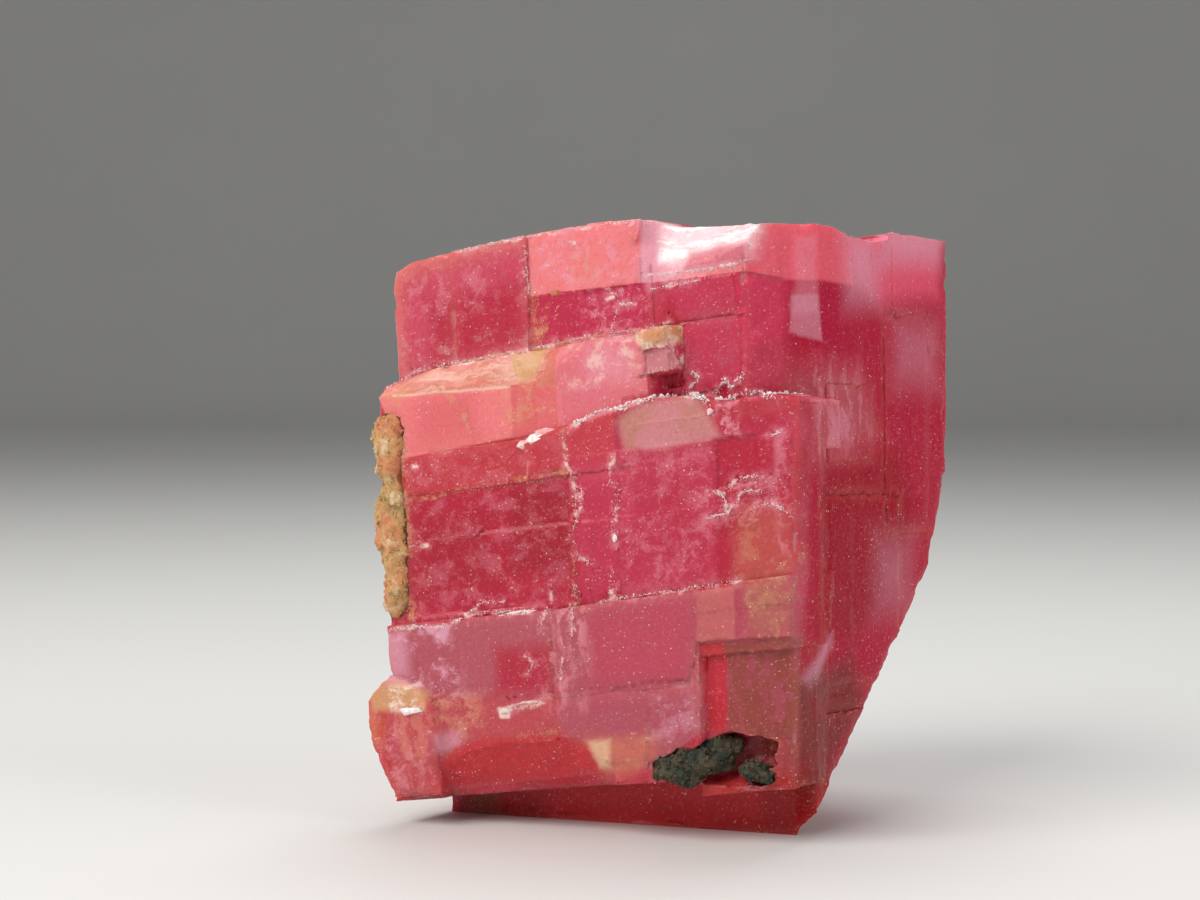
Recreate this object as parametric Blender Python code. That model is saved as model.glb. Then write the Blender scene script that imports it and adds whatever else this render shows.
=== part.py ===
"""A rhodochrosite specimen: one stepped block of intergrown cleavage crystal on a flat broken base.

A tan crust sits in a groove down its left edge, and two dark ore grains sit in hollows low on its front.

Lengths are in millimetres until a mesh is made, which turns them into metres. +X points to the right of
the main face, +Y goes back into the block and +Z is up. The origin is at the centre of the underside.

Rhodochrosite splits along three directions that aren't square to each other, so every step is a skewed
block. Its corners are given in steps along those directions: along the main face to the right, down it,
and back into it.
"""

import math
import random

import bmesh
import bpy
from mathutils import Matrix, Vector
from mathutils.noise import noise

MM = 0.001

# The three cleavage directions, and the point where the main face, the right face and the top meet.
ALONG = Vector((0.925, -0.335, 0.13)).normalized()
DOWN = Vector((0.03, 0.16, -0.985)).normalized()
BACK = Vector((0.58, 0.81, -0.04)).normalized()
RIDGE_TOP = Vector((1.877, -6.177, 16.78))

# Driving dimensions of the block, in mm along the cleavage directions.
LEFT_WALL = -10.05
RIGHT_FACE = 0.9
BACK_FACE = 9.35
RIDGE_BACK = 2.05
CORE_FOOT = 14.8
ROOT = 18.6
SLAB_LEFT = -10.3
SLAB_RIGHT = 1.85
SLAB_TOP = 2.5
SLAB_FOOT = 14.95
SLAB_FRONT = -0.6
SECOND_FRONT = -0.84
THIRD_LEDGE = 9.72
THIRD_FRONT = -0.95
KNOB_FRONT = -1.15
BASE_FRONT = 1.25
CRUST_TOP = 3.75
CRUST_FOOT = 9.8
# Room between a crust or a grain and the socket that it sits in.
SOCKET_GAP = 0.04
# How far a cutter runs on past the surface that it breaks, and how far it stands out from it.
OVERSHOOT = 0.6
CUTTER_DEPTH = 1.6
CUTTER_REACH = 30.0
# How much of its radius a grain swells and shrinks by, in broad lumps and in small ones.
BROAD_LUMPS = 0.34
SMALL_LUMPS = 0.12
GRAIN_SUBDIVISIONS = 3
CRUST_RINGS = 22


def clear_scene():
    for old in list(bpy.data.objects):
        bpy.data.objects.remove(old)


def stone(name, colour, roughness):
    """A plain Principled material for one mineral."""
    material = bpy.data.materials.new(name)
    material.use_nodes = True
    shader = material.node_tree.nodes["Principled BSDF"]
    shader.inputs["Base Color"].default_value = (*colour, 1.0)
    shader.inputs["Roughness"].default_value = roughness
    shader.inputs["Metallic"].default_value = 0.0
    return material


def site(along, down, back):
    """The point, in mm, that is so many mm from the ridge top along each cleavage direction."""
    return RIDGE_TOP + along * ALONG + down * DOWN + back * BACK


# A point deep inside the block, which tells the outside of a surface from its inside.
HEART = site(-4.5, 7.0, 4.5)


def helper_collection(name):
    group = bpy.data.collections.new(name)
    bpy.context.scene.collection.children.link(group)
    return group


def add_solid(name, corners, faces, group):
    """A closed mesh from corners in mm, put into a collection."""
    mesh = bpy.data.meshes.new(name)
    mesh.from_pydata([corner * MM for corner in corners], [], faces)
    form = bmesh.new()
    form.from_mesh(mesh)
    bmesh.ops.recalc_face_normals(form, faces=form.faces)
    form.to_mesh(mesh)
    form.free()
    solid = bpy.data.objects.new(name, mesh)
    group.objects.link(solid)
    return solid


def as_helper(solid):
    solid.hide_render = True
    solid.display_type = "WIRE"
    return solid


def leaned(corners, degrees, seed):
    """The corners turned a little about their middle, as neighbouring crystals are out of line."""
    dice = random.Random(seed)
    axis = Vector([dice.uniform(-1, 1) for _ in range(3)]).normalized()
    middle = sum(corners, Vector()) / len(corners)
    turn = Matrix.Rotation(math.radians(degrees), 3, axis)
    return [middle + turn @ (corner - middle) for corner in corners]


def prism(name, near, far, group, lean=0.3):
    """A solid between two outlines that have the same number of points, leaned by a small turn."""
    count = len(near)
    sides = [(i, (i + 1) % count, count + (i + 1) % count, count + i) for i in range(count)]
    faces = [tuple(range(count)), tuple(range(2 * count - 1, count - 1, -1)), *sides]
    return add_solid(name, leaned(near + far, lean, name), faces, group)


def plate(name, outline, back, group, lean=0.3):
    """A slab with an (along, down) outline, from one depth to another."""
    near = [site(along, down, back[0]) for along, down in outline]
    far = [site(along, down, back[1]) for along, down in outline]
    return prism(name, near, far, group, lean)


def column(name, outline, down, group, lean=0.3):
    """An upright prism with an (along, back) outline, from one height to another."""
    near = [site(along, down[0], back) for along, back in outline]
    far = [site(along, down[1], back) for along, back in outline]
    return prism(name, near, far, group, lean)


def block(name, along, down, back, group, lean=0.3):
    """A skewed box between two planes of each cleavage direction."""
    outline = [(along[0], down[0]), (along[1], down[0]), (along[1], down[1]), (along[0], down[1])]
    return plate(name, outline, back, group, lean)


def half_space(name, points, away_from, group):
    """A cutter that fills the side of a plane that lies away from a point."""
    first, second, third = points
    normal = (second - first).cross(third - first).normalized()
    if normal.dot(away_from - first) > 0:
        normal = -normal
    side = (second - first).normalized()
    other = normal.cross(side)
    middle = (first + second + third) / 3
    square = ((-1, -1), (1, -1), (1, 1), (-1, 1))
    near = [middle + CUTTER_REACH * (a * side + b * other) for a, b in square]
    far = [corner + CUTTER_REACH * normal for corner in near]
    return prism(name, near, far, group, lean=0.0)


def joined(base, group, operation, name):
    """Adds to base, or takes from it, every solid of a collection."""
    modifier = base.modifiers.new(name, "BOOLEAN")
    modifier.operation = operation
    modifier.operand_type = "COLLECTION"
    modifier.collection = group
    modifier.solver = "EXACT"
    for solid in group.objects:
        as_helper(solid)


def broken_edge(name, low, high, group, under_wall=False):
    """A cutter that breaks an edge off between a line on the one face and a line on the other.

    Both lines are lists of (along, down, back), and the facet that is left runs from one line to the
    other. Where a wall stands behind the second line, the cutter stops at that line instead of running
    out past it."""
    near = [site(*place) for place in low]
    far = [site(*place) for place in high]
    span = (near[-1] - near[0]).normalized()
    corners = []
    for foot, top in zip(near, far):
        slope = (top - foot).normalized()
        foot = foot - OVERSHOOT * slope
        if under_wall:
            corners += [foot, top, top - CUTTER_DEPTH * BACK]
            continue
        top = top + OVERSHOOT * slope
        outward = slope.cross(span).normalized()
        if outward.dot(top - HEART) < 0:
            outward = -outward
        corners += [foot, top, (foot + top) / 2 + CUTTER_DEPTH * outward]
    faces = [(0, 1, 2), tuple(len(corners) - k for k in (1, 2, 3))]
    for start in range(0, len(corners) - 3, 3):
        for first, second in ((0, 1), (1, 2), (2, 0)):
            faces.append((start + first, start + second, start + 3 + second, start + 3 + first))
    return add_solid(name, corners, faces, group)


def lump(name, centre, radii, tilt, seed, group, swell=0.0):
    """A knobbly grain: a ball stretched to its radii along the cleavage directions and roughened."""
    form = bmesh.new()
    bmesh.ops.create_icosphere(form, subdivisions=GRAIN_SUBDIVISIONS, radius=1.0)
    turn = Matrix.Rotation(math.radians(tilt), 3, "Y")
    offset = Vector((seed * 3.7, seed * 1.9, seed * 5.3))
    for point in form.verts:
        broad = noise(point.co * 1.7 + offset)
        small = noise(point.co * 4.1 + offset)
        rough = 1 + BROAD_LUMPS * broad + SMALL_LUMPS * small
        sized = Vector((point.co.x * radii[0], point.co.y * radii[2], point.co.z * radii[1]))
        point.co = turn @ sized * rough
    form.normal_update()
    moves = [point.normal * swell for point in form.verts]
    for point, move in zip(form.verts, moves):
        point.co = (site(*centre) + point.co + move) * MM
    return finished_form(name, form, group)


def finished_form(name, form, group):
    bmesh.ops.recalc_face_normals(form, faces=form.faces)
    mesh = bpy.data.meshes.new(name)
    form.to_mesh(mesh)
    form.free()
    solid = bpy.data.objects.new(name, mesh)
    group.objects.link(solid)
    return solid


def crust_strip(name, group, swell=0.0):
    """The tan crust: a lumpy strip that wraps the slab's left edge, thin at both ends and lobed between."""
    # The strip's plan, from its front edge round the outside to its rear edge and back inside.
    plan = [(-9.72, -0.72), (-9.98, -0.86), (-10.34, -0.8), (-10.56, -0.42), (-10.66, 0.35), (-10.62, 1.3),
            (-10.45, 2.3), (-10.12, 2.7), (-9.95, 2.0), (-9.9, 1.0), (-9.85, 0.1), (-9.7, -0.35)]
    middle = sum((Vector(spot) for spot in plan), Vector((0.0, 0.0))) / len(plan)
    form = bmesh.new()
    loops = []
    for ring in range(CRUST_RINGS):
        share = ring / (CRUST_RINGS - 1)
        down = CRUST_TOP + share * (CRUST_FOOT - CRUST_TOP)
        ends = min(1.0, 0.4 + 8.0 * share, 0.4 + 6.0 * (1 - share))
        loop = []
        for along, back in plan:
            wander = noise(Vector((along * 1.1, back * 1.1, down * 1.25)))
            lobes = noise(Vector((along * 0.3, 4.0 + back * 0.3, down * 0.8)))
            outside = 1.0 if along < middle.x else 0.25
            scale = ends * (1 + outside * (0.4 * wander + 0.7 * lobes))
            reach = Vector((along, back)) - middle
            place = middle + Vector((reach.x * scale, reach.y * (0.55 + 0.45 * ends)))
            loop.append(form.verts.new(site(place.x, down, place.y)))
        loops.append(loop)
    count = len(plan)
    for upper, lower in zip(loops, loops[1:]):
        for i in range(count):
            form.faces.new((upper[i], upper[(i + 1) % count], lower[(i + 1) % count], lower[i]))
    form.faces.new(loops[0])
    form.faces.new(loops[-1])
    bmesh.ops.recalc_face_normals(form, faces=form.faces)
    bmesh.ops.triangulate(form, faces=form.faces)
    form.normal_update()
    moves = [point.normal * swell for point in form.verts]
    for point, move in zip(form.verts, moves):
        point.co = (point.co + move) * MM
    return finished_form(name, form, group)


def top_mosaic(group):
    """The blocks above the first ledge: a low arch of four tops, the left two a little proud."""
    plate("top_left", [(LEFT_WALL, 0.35), (-9.94, -0.1), (-9.45, -0.3), (-8.2, -0.44), (-7.9, 3.4),
                       (-9.98, 3.4)], (-0.14, 6.4), group, lean=0.15)
    plate("top_left_inner", [(-8.35, -0.42), (-7.1, -0.49), (-6.04, -0.55), (-6.08, 3.4), (-8.3, 3.4)],
          (-0.17, 7.6), group, lean=0.15)
    plate("top_middle", [(-6.3, -0.56), (-4.9, -0.59), (-4.0, -0.6), (-2.9, -0.52), (-2.62, -0.4),
                         (-2.5, 3.2), (-6.3, 3.2)], (-0.05, 8.7), group, lean=0.1)
    plate("top_right", [(-2.75, -0.44), (-2.33, -0.28), (-1.2, -0.16), (-0.1, -0.03), (0.02, 2.4),
                        (-2.7, 2.4)], (-0.03, 4.6), group, lean=0.1)
    block("top_rear_right", (-3.4, RIGHT_FACE + 0.02), (-0.1, 3.2), (6.1, BACK_FACE + 0.03), group)
    block("top_rear_left", (-9.4, -4.6), (-0.2, 4.2), (5.1, 9.1), group)
    block("top_rear_step", (-6.9, -2.4), (-0.42, 2.6), (6.2, 9.75), group)


def front_slab(group):
    """The slab that stands proud of the main face below the first ledge, in three steps."""
    plate("slab_upper", [(SLAB_LEFT, 3.45), (SLAB_LEFT, 3.0), (-8.75, SLAB_TOP + 0.18),
                         (-6.1, SLAB_TOP + 0.1), (-1.9, SLAB_TOP), (-1.75, 3.0), (-1.75, 3.7),
                         (-2.35, 3.78), (-2.35, 4.5), (-1.7, 5.6), (-1.7, 9.0), (SLAB_LEFT, 9.0)],
          (SLAB_FRONT, 1.9), group, lean=0.0)
    plate("slab_corner_tile", [(-2.85, 2.52), (-1.83, 2.46), (-1.78, 3.68), (-2.7, 3.74)],
          (SLAB_FRONT - 0.06, 0.8), group, lean=0.3)
    column("slab_second", [(SLAB_LEFT + 0.02, SLAB_FRONT - 0.02), (-5.9, SLAB_FRONT - 0.1),
                           (-2.6, SECOND_FRONT), (SLAB_RIGHT + 0.06, SECOND_FRONT),
                           (SLAB_RIGHT + 0.1, 0.1), (RIGHT_FACE, RIDGE_BACK + 0.3),
                           (SLAB_LEFT + 0.02, 2.4)], (5.02, 11.6), group, lean=0.1)
    plate("slab_second_lip", [(-5.9, 5.16), (-4.95, 4.86), (-3.6, 4.58), (-2.3, 4.36), (-1.1, 4.44),
                              (-0.3, 4.72), (1.05, 4.66), (SLAB_RIGHT, 4.9), (SLAB_RIGHT, 6.2),
                              (-5.9, 6.2)], (SECOND_FRONT, 1.3), group, lean=0.05)
    column("slab_third", [(SLAB_LEFT + 0.06, THIRD_FRONT + 0.12), (-4.6, THIRD_FRONT - 0.03),
                          (-0.98, THIRD_FRONT), (-0.8, 0.4), (-1.0, 2.2), (SLAB_LEFT + 0.06, 2.2)],
           (9.85, SLAB_FOOT + 0.1), group, lean=0.1)
    plate("third_lip", [(-5.2, 9.86), (-3.7, 9.8), (-1.5, THIRD_LEDGE), (0.3, 9.6), (1.72, 9.55),
                        (1.6, 11.26), (-1.0, 11.17), (-1.2, 12.4), (-5.2, 12.4)],
          (THIRD_FRONT - 0.04, 1.2), group, lean=0.0)
    column("streaked_recess", [(-1.2, -0.62), (0.1, -0.66), (1.5, -0.5), (1.45, 0.6),
                               (RIGHT_FACE, 2.4), (-1.2, 2.4)], (11.0, 15.55), group, lean=0.2)


def knob(group):
    """The swollen corner at the slab's lower left, which stands out furthest to the left."""
    plate("knob", [(-10.05, 11.25), (-10.5, 11.7), (-10.72, 12.0), (-10.74, 12.6), (-10.66, 13.3),
                   (-10.35, 14.1), (-10.02, 14.92), (-8.5, 14.93), (-8.45, 13.6), (-8.7, 12.3),
                   (-9.1, 11.7)], (KNOB_FRONT, 1.9), group, lean=0.5)


def side_and_rear_steps(group):
    """Low steps on the right face, the rear and the left wall, where cleavage sheets have come away."""
    block("right_upper", (-1.5, RIGHT_FACE + 0.06), (4.3, 6.5), (2.3, 4.9), group, lean=0.8)
    block("right_middle", (-1.5, RIGHT_FACE + 0.05), (2.2, 8.6), (5.6, 8.2), group, lean=0.4)
    block("right_lower", (-1.5, RIGHT_FACE + 0.06), (7.4, 12.9), (2.2, 6.4), group, lean=0.6)
    block("rear_upper", (-8.3, -1.6), (0.35, 8.6), (6.0, 10.0), group, lean=0.8)
    block("rear_right", (-3.2, 0.7), (2.1, 7.3), (6.0, 9.85), group, lean=0.8)
    block("rear_left", (-9.8, -5.4), (4.9, 11.9), (6.0, 9.85), group, lean=0.8)
    block("rear_low_step", (-6.6, -2.2), (7.9, 12.4), (6.0, 9.7), group, lean=1.0)
    block("left_upper", (-10.42, -6.0), (1.1, 5.4), (3.9, 8.3), group, lean=0.7)
    block("left_middle", (-10.62, -6.0), (4.4, 10.6), (5.2, 9.0), group, lean=0.7)
    block("left_lower", (-10.38, -6.0), (9.6, 15.2), (3.2, 7.6), group, lean=0.7)


def root(group):
    """The narrower foot that carries the block, set back under the slab's overhang."""
    plan = [(LEFT_WALL + 0.1, BASE_FRONT), (1.1, BASE_FRONT), (0.95, 4.0), (0.8, BACK_FACE - 0.3),
            (LEFT_WALL + 0.2, BACK_FACE - 0.2)]
    column("root", plan, (13.6, ROOT), group, lean=0.0)


def broken_faces(group):
    """What was broken away with flat faces: the base, the tapers at the right and rear, the corners."""
    right = RIGHT_FACE
    faces = {
        "cut_base": [Vector((0, 0, 0)), Vector((1, 0, 0)), Vector((0, 1, 0))],
        "cut_right_shoulder": [site(right, 6.2, 9.55), site(right, 9.9, 8.15), site(-3.0, 8.6, 9.6)],
        "cut_right_foot": [site(right, 9.4, 8.4), site(right, 12.0, 6.3), site(-5.0, 11.4, 9.9)],
        "cut_right_flank": [site(right, 10.2, 7.75), site(right, 14.3, 3.6), site(-4.0, 15.2, 7.6)],
        "cut_rear_foot": [site(-9.0, 11.2, 9.6), site(-4.0, 12.4, 9.4), site(-8.0, 16.6, 6.9)],
        "cut_left_foot": [site(-10.9, 13.0, 5.0), site(-10.6, 14.0, 2.6), site(-9.2, 17.2, 4.5)],
        "cut_left_rear": [site(-10.5, 2.0, 7.4), site(-9.0, 2.2, 9.7), site(-10.3, 9.0, 8.3)],
        "cut_slab_right": [site(1.9, 4.7, -0.84), site(1.58, 11.25, -0.84), site(1.98, 4.7, 0.3)],
    }
    for name, points in faces.items():
        half_space(name, points, HEART, group)


def chipped_edges(group):
    """Edges that have flaked along the top and on the slab, and the hollow low on the front."""
    broken_edge("chip_top", [(-3.0, 0.1, 0.0), (-2.1, 0.84, 0.0), (-0.9, 0.74, 0.0), (0.45, 0.3, 0.15)],
                [(-2.9, -0.6, 0.2), (-2.2, -0.3, 0.8), (-0.9, -0.2, 0.85), (0.3, -0.1, 0.5)], group)
    front = SLAB_FRONT
    broken_edge("chip_slab_corner", [(-10.7, 3.42, front), (-8.6, 3.42, front), (-6.3, 3.5, front),
                                     (-5.4, 3.3, front), (-4.3, 2.8, front)],
                [(-10.7, 2.95, -0.16), (-8.75, 2.6, -0.17), (-6.3, 2.52, -0.21), (-5.4, 2.48, -0.14),
                 (-4.2, 2.44, -0.35)], group, under_wall=True)
    foot = THIRD_FRONT
    broken_edge("chip_slab_foot", [(-8.75, 13.62, foot), (-6.9, 13.46, foot), (-4.7, 13.6, foot),
                                   (-3.5, 14.5, foot)],
                [(-8.75, 15.1, -0.3), (-6.9, 15.1, -0.3), (-4.7, 15.15, -0.35), (-3.5, 15.2, -0.7)],
                group)
    broken_edge("chip_top_rear", [(0.98, -0.02, 2.5), (0.98, 0.2, 3.7), (0.98, 0.26, 4.9),
                                  (0.98, 0.12, 5.9)],
                [(-0.9, -0.02, 2.4), (-1.7, -0.02, 3.7), (-1.9, -0.02, 4.9), (-0.9, -0.02, 6.0)], group)
    lump("hollow", (-0.4, 14.62, -0.75), (1.6, 0.72, 0.85), -16, 5, group)


def build():
    clear_scene()
    scene = bpy.context.scene.collection
    blocks, breaks, sockets = (helper_collection(name) for name in ("blocks", "breaks", "sockets"))
    core_plan = [(LEFT_WALL, 0.0), (0.0, 0.0), (RIGHT_FACE, RIDGE_BACK), (RIGHT_FACE, BACK_FACE),
                 (LEFT_WALL, BACK_FACE)]
    crystal = column("rhodochrosite_crystal", core_plan, (0.0, CORE_FOOT), scene, lean=0.0)
    for add in (top_mosaic, front_slab, knob, side_and_rear_steps, root):
        add(blocks)
    broken_faces(breaks)
    chipped_edges(breaks)
    joined(crystal, blocks, "UNION", "grown_together")
    joined(crystal, breaks, "DIFFERENCE", "broken_away")
    grains = {
        "dark_grain_large": ((-1.3, 14.42, -0.46), (1.22, 0.6, 0.5), -24, 2),
        "dark_grain_small": ((0.34, 14.98, -0.4), (0.5, 0.27, 0.36), 12, 7),
    }
    for name, (centre, radii, tilt, seed) in grains.items():
        grain = lump(name, centre, radii, tilt, seed, scene)
        grain.data.materials.append(stone(name + "_ore", (0.02, 0.022, 0.02), 0.55))
        lump(name + "_socket", centre, radii, tilt, seed, sockets, swell=SOCKET_GAP)
    crust = crust_strip("tan_crust", scene)
    crust.data.materials.append(stone("crust_tan", (0.5, 0.28, 0.12), 0.7))
    crust_strip("tan_crust_socket", sockets, swell=SOCKET_GAP)
    joined(crystal, sockets, "DIFFERENCE", "sockets")
    crystal.data.materials.append(stone("rhodochrosite_pink", (0.62, 0.06, 0.1), 0.35))


build()
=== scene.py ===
# %% [markdown]
# # A rhodochrosite cleavage crystal
# Rhodochrosite is manganese carbonate. It breaks along three flat directions that
# are not square to each other, so a broken piece is a leaning block with stepped
# sides. This one is about 17 mm tall: a crimson block, a film of tan crust on its
# left edge and two dark ore grains near its foot. The frame gives the solids at
# their real size, and this file gives them their skin and their colour.

# %% Load the frame
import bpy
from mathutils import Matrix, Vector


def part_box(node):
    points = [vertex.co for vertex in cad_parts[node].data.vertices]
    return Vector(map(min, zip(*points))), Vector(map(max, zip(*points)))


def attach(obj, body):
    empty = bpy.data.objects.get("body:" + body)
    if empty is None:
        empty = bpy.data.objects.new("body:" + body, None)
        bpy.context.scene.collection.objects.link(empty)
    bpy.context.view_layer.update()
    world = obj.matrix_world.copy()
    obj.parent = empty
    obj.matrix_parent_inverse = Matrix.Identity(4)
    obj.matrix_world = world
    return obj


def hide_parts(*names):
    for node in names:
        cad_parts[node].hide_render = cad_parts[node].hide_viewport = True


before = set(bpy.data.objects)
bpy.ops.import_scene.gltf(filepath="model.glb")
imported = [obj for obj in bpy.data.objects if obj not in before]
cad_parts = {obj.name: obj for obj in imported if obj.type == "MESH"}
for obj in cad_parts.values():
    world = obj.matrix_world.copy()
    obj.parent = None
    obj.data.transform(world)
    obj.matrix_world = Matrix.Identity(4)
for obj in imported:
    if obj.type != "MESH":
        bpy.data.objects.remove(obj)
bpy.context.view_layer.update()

# %% Blender's own modules
import math
import random

import bmesh
import bpy
import numpy as np
from mathutils import Matrix, Vector, noise
from mathutils.bvhtree import BVHTree
from mathutils.kdtree import KDTree

# %% [markdown]
# ## The three directions of the stone
# Everything on a cleavage crystal follows its three directions, so places are
# easier to read along them than along X, Y and Z. ALONG runs left to right on the
# front face, DOWN follows the front ridge to the foot, and BACK goes into the
# block. All three start at the top of the ridge, and they are in millimetres.

# %% Directions and the way from them to metres
MM = 0.001
ALONG = Vector((0.925, -0.335, 0.13)).normalized()
DOWN = Vector((0.03, 0.16, -0.985)).normalized()
BACK = Vector((0.58, 0.81, -0.04)).normalized()
RIDGE_TOP = Vector((1.877, -6.177, 16.78))
LATTICE = Matrix((ALONG, DOWN, BACK)).transposed()
TO_LATTICE = LATTICE.inverted()


def site(along, down, back):
    """The point that lies so many millimetres along each of the stone's directions."""
    return (RIDGE_TOP + LATTICE @ Vector((along, down, back))) * MM


def lattice_of(point):
    """The stone's own three numbers, in millimetres, of a point in metres."""
    return TO_LATTICE @ (point / MM - RIDGE_TOP)


foot = lattice_of(Vector((0, 0, 0)))
print("the middle of the foot lies at", [round(value, 2) for value in foot])

# %% [markdown]
# ## Camera, floor and light
# A small stone is looked at from near, a little above its middle, with a long
# lens. A floor that turns up into a wall behind it has no horizon line. Big soft
# lamps are like a clouded window: they show the colour and the steps of a
# translucent stone without hard white spots.

# %% Camera
camera_data = bpy.data.cameras.new("bench_camera")
camera_data.lens = 70
camera_data.sensor_width = 36
camera_data.clip_start = 0.001
camera = bpy.data.objects.new("bench_camera", camera_data)
camera.location = Vector((-1.883, -66.847, 13.51)) * MM
camera.rotation_euler = (math.radians(90 - 2.5), 0, 0)
bpy.context.scene.collection.objects.link(camera)
bpy.context.scene.camera = camera
print("camera stands", round(-camera.location.y * 1000), "mm in front")

# %% A finished mesh becomes an object
def shown(name, mesh):
    """Puts a mesh in the scene as an object that sits at the origin."""
    piece = bpy.data.objects.new(name, mesh)
    bpy.context.scene.collection.objects.link(piece)
    return piece


def from_lists(name, points, edges, faces):
    """An object made of a list of points, and of its loose edges or its faces."""
    mesh = bpy.data.meshes.new(name)
    mesh.from_pydata(points, edges, faces)
    mesh.update()
    return shown(name, mesh)


def from_form(name, form):
    """An object made of a bmesh."""
    mesh = bpy.data.meshes.new(name)
    form.to_mesh(mesh)
    return shown(name, mesh)


def search_tree(places):
    """A tree that finds the nearest of some places."""
    tree = KDTree(len(places))
    for index, place in enumerate(places):
        tree.insert(place, index)
    tree.balance()
    return tree


# %% Floor that turns up into a wall
FLOOR_HALF_WIDTH = 0.6
FLOOR_FRONT = -0.3
WALL_FOOT = 0.35
COVE_RADIUS = 0.12
WALL_TOP = 0.7
COVE_STEPS = 12

profile = [(FLOOR_FRONT, 0.0)]
for step in range(COVE_STEPS + 1):
    turn = math.radians(90) * step / COVE_STEPS
    profile.append((WALL_FOOT + COVE_RADIUS * math.sin(turn), COVE_RADIUS * (1 - math.cos(turn))))
profile.append((WALL_FOOT + COVE_RADIUS, WALL_TOP))
floor_points = [(side * FLOOR_HALF_WIDTH, y, z) for y, z in profile for side in (-1, 1)]
floor_faces = [(i, i + 1, i + 3, i + 2) for i in range(0, len(floor_points) - 2, 2)]
floor = from_lists("pale_floor", floor_points, [], floor_faces)
floor.data.shade_smooth()
print("floor made of", len(floor_faces), "strips")

# %% Lamps and the light of the room
MIDDLE = Vector((0, 0, 8))


def lamp(name, place, size, power, colour):
    """A square soft lamp at a place in millimetres, turned to the stone."""
    data = bpy.data.lights.new(name, "AREA")
    data.shape = "SQUARE"
    data.size = size * MM
    data.energy = power
    data.color = colour
    made = bpy.data.objects.new(name, data)
    made.location = Vector(place) * MM
    made.rotation_euler = (MIDDLE - Vector(place)).to_track_quat("-Z", "Y").to_euler()
    bpy.context.scene.collection.objects.link(made)


lamp("window_left", (-95, -95, 120), 110, 0.265, (1.0, 0.98, 0.95))
lamp("window_right", (120, -60, 60), 90, 0.07, (0.96, 0.98, 1.0))
lamp("window_top", (10, 35, 140), 90, 0.10, (1.0, 1.0, 1.0))

world = bpy.context.scene.world or bpy.data.worlds.new("room")
bpy.context.scene.world = world
world.use_nodes = True
world.node_tree.nodes["Background"].inputs["Color"].default_value = (0.9, 0.89, 0.88, 1)
world.node_tree.nodes["Background"].inputs["Strength"].default_value = 0.24
bpy.context.scene.view_settings.view_transform = "Standard"
print("lamps:", [light.name for light in bpy.data.lights])

# %% [markdown]
# ## A short way to write a finish
# A finish on a stone is many thin layers, and each layer is a few nodes. Wiring
# them by hand takes pages, so these classes keep a node tree and offer the few
# sums that a stone needs. Every number that is the same all over goes straight on
# the shader's own socket.

# %% The recipe of a finish
def shade(red, green, blue):
    """A colour from its screen values, 0 to 255, as the shader wants it."""
    def linear(value):
        value = value / 255
        return value / 12.92 if value <= 0.04045 else ((value + 0.055) / 1.055) ** 2.4
    return (linear(red), linear(green), linear(blue), 1.0)


class Tree:
    """A node tree, with short ways to add the nodes that finishes and growths share."""

    def feed(self, socket, value):
        """Links a node's output to a socket, or writes a plain value on it."""
        if isinstance(value, bpy.types.NodeSocket):
            self.tree.links.new(value, socket)
        else:
            socket.default_value = value

    def node(self, kind, feeds=(), **settings):
        made = self.tree.nodes.new(kind)
        for key, value in settings.items():
            setattr(made, key, value)
        for key, value in dict(feeds).items():
            if value is not None:
                self.feed(made.inputs[key], value)
        return made

    def vector(self, operation, first, second=None, scale=None):
        feeds = {0: first, 1: second, "Scale": scale}
        made = self.node("ShaderNodeVectorMath", feeds, operation=operation)
        return made.outputs["Value" if operation == "DOT_PRODUCT" else "Vector"]

    def clouds(self, place, scale, detail=3.0, rough=0.5, colour=False):
        feeds = {"Vector": place, "Scale": scale, "Detail": detail, "Roughness": rough}
        return self.node("ShaderNodeTexNoise", feeds).outputs["Color" if colour else "Fac"]


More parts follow.
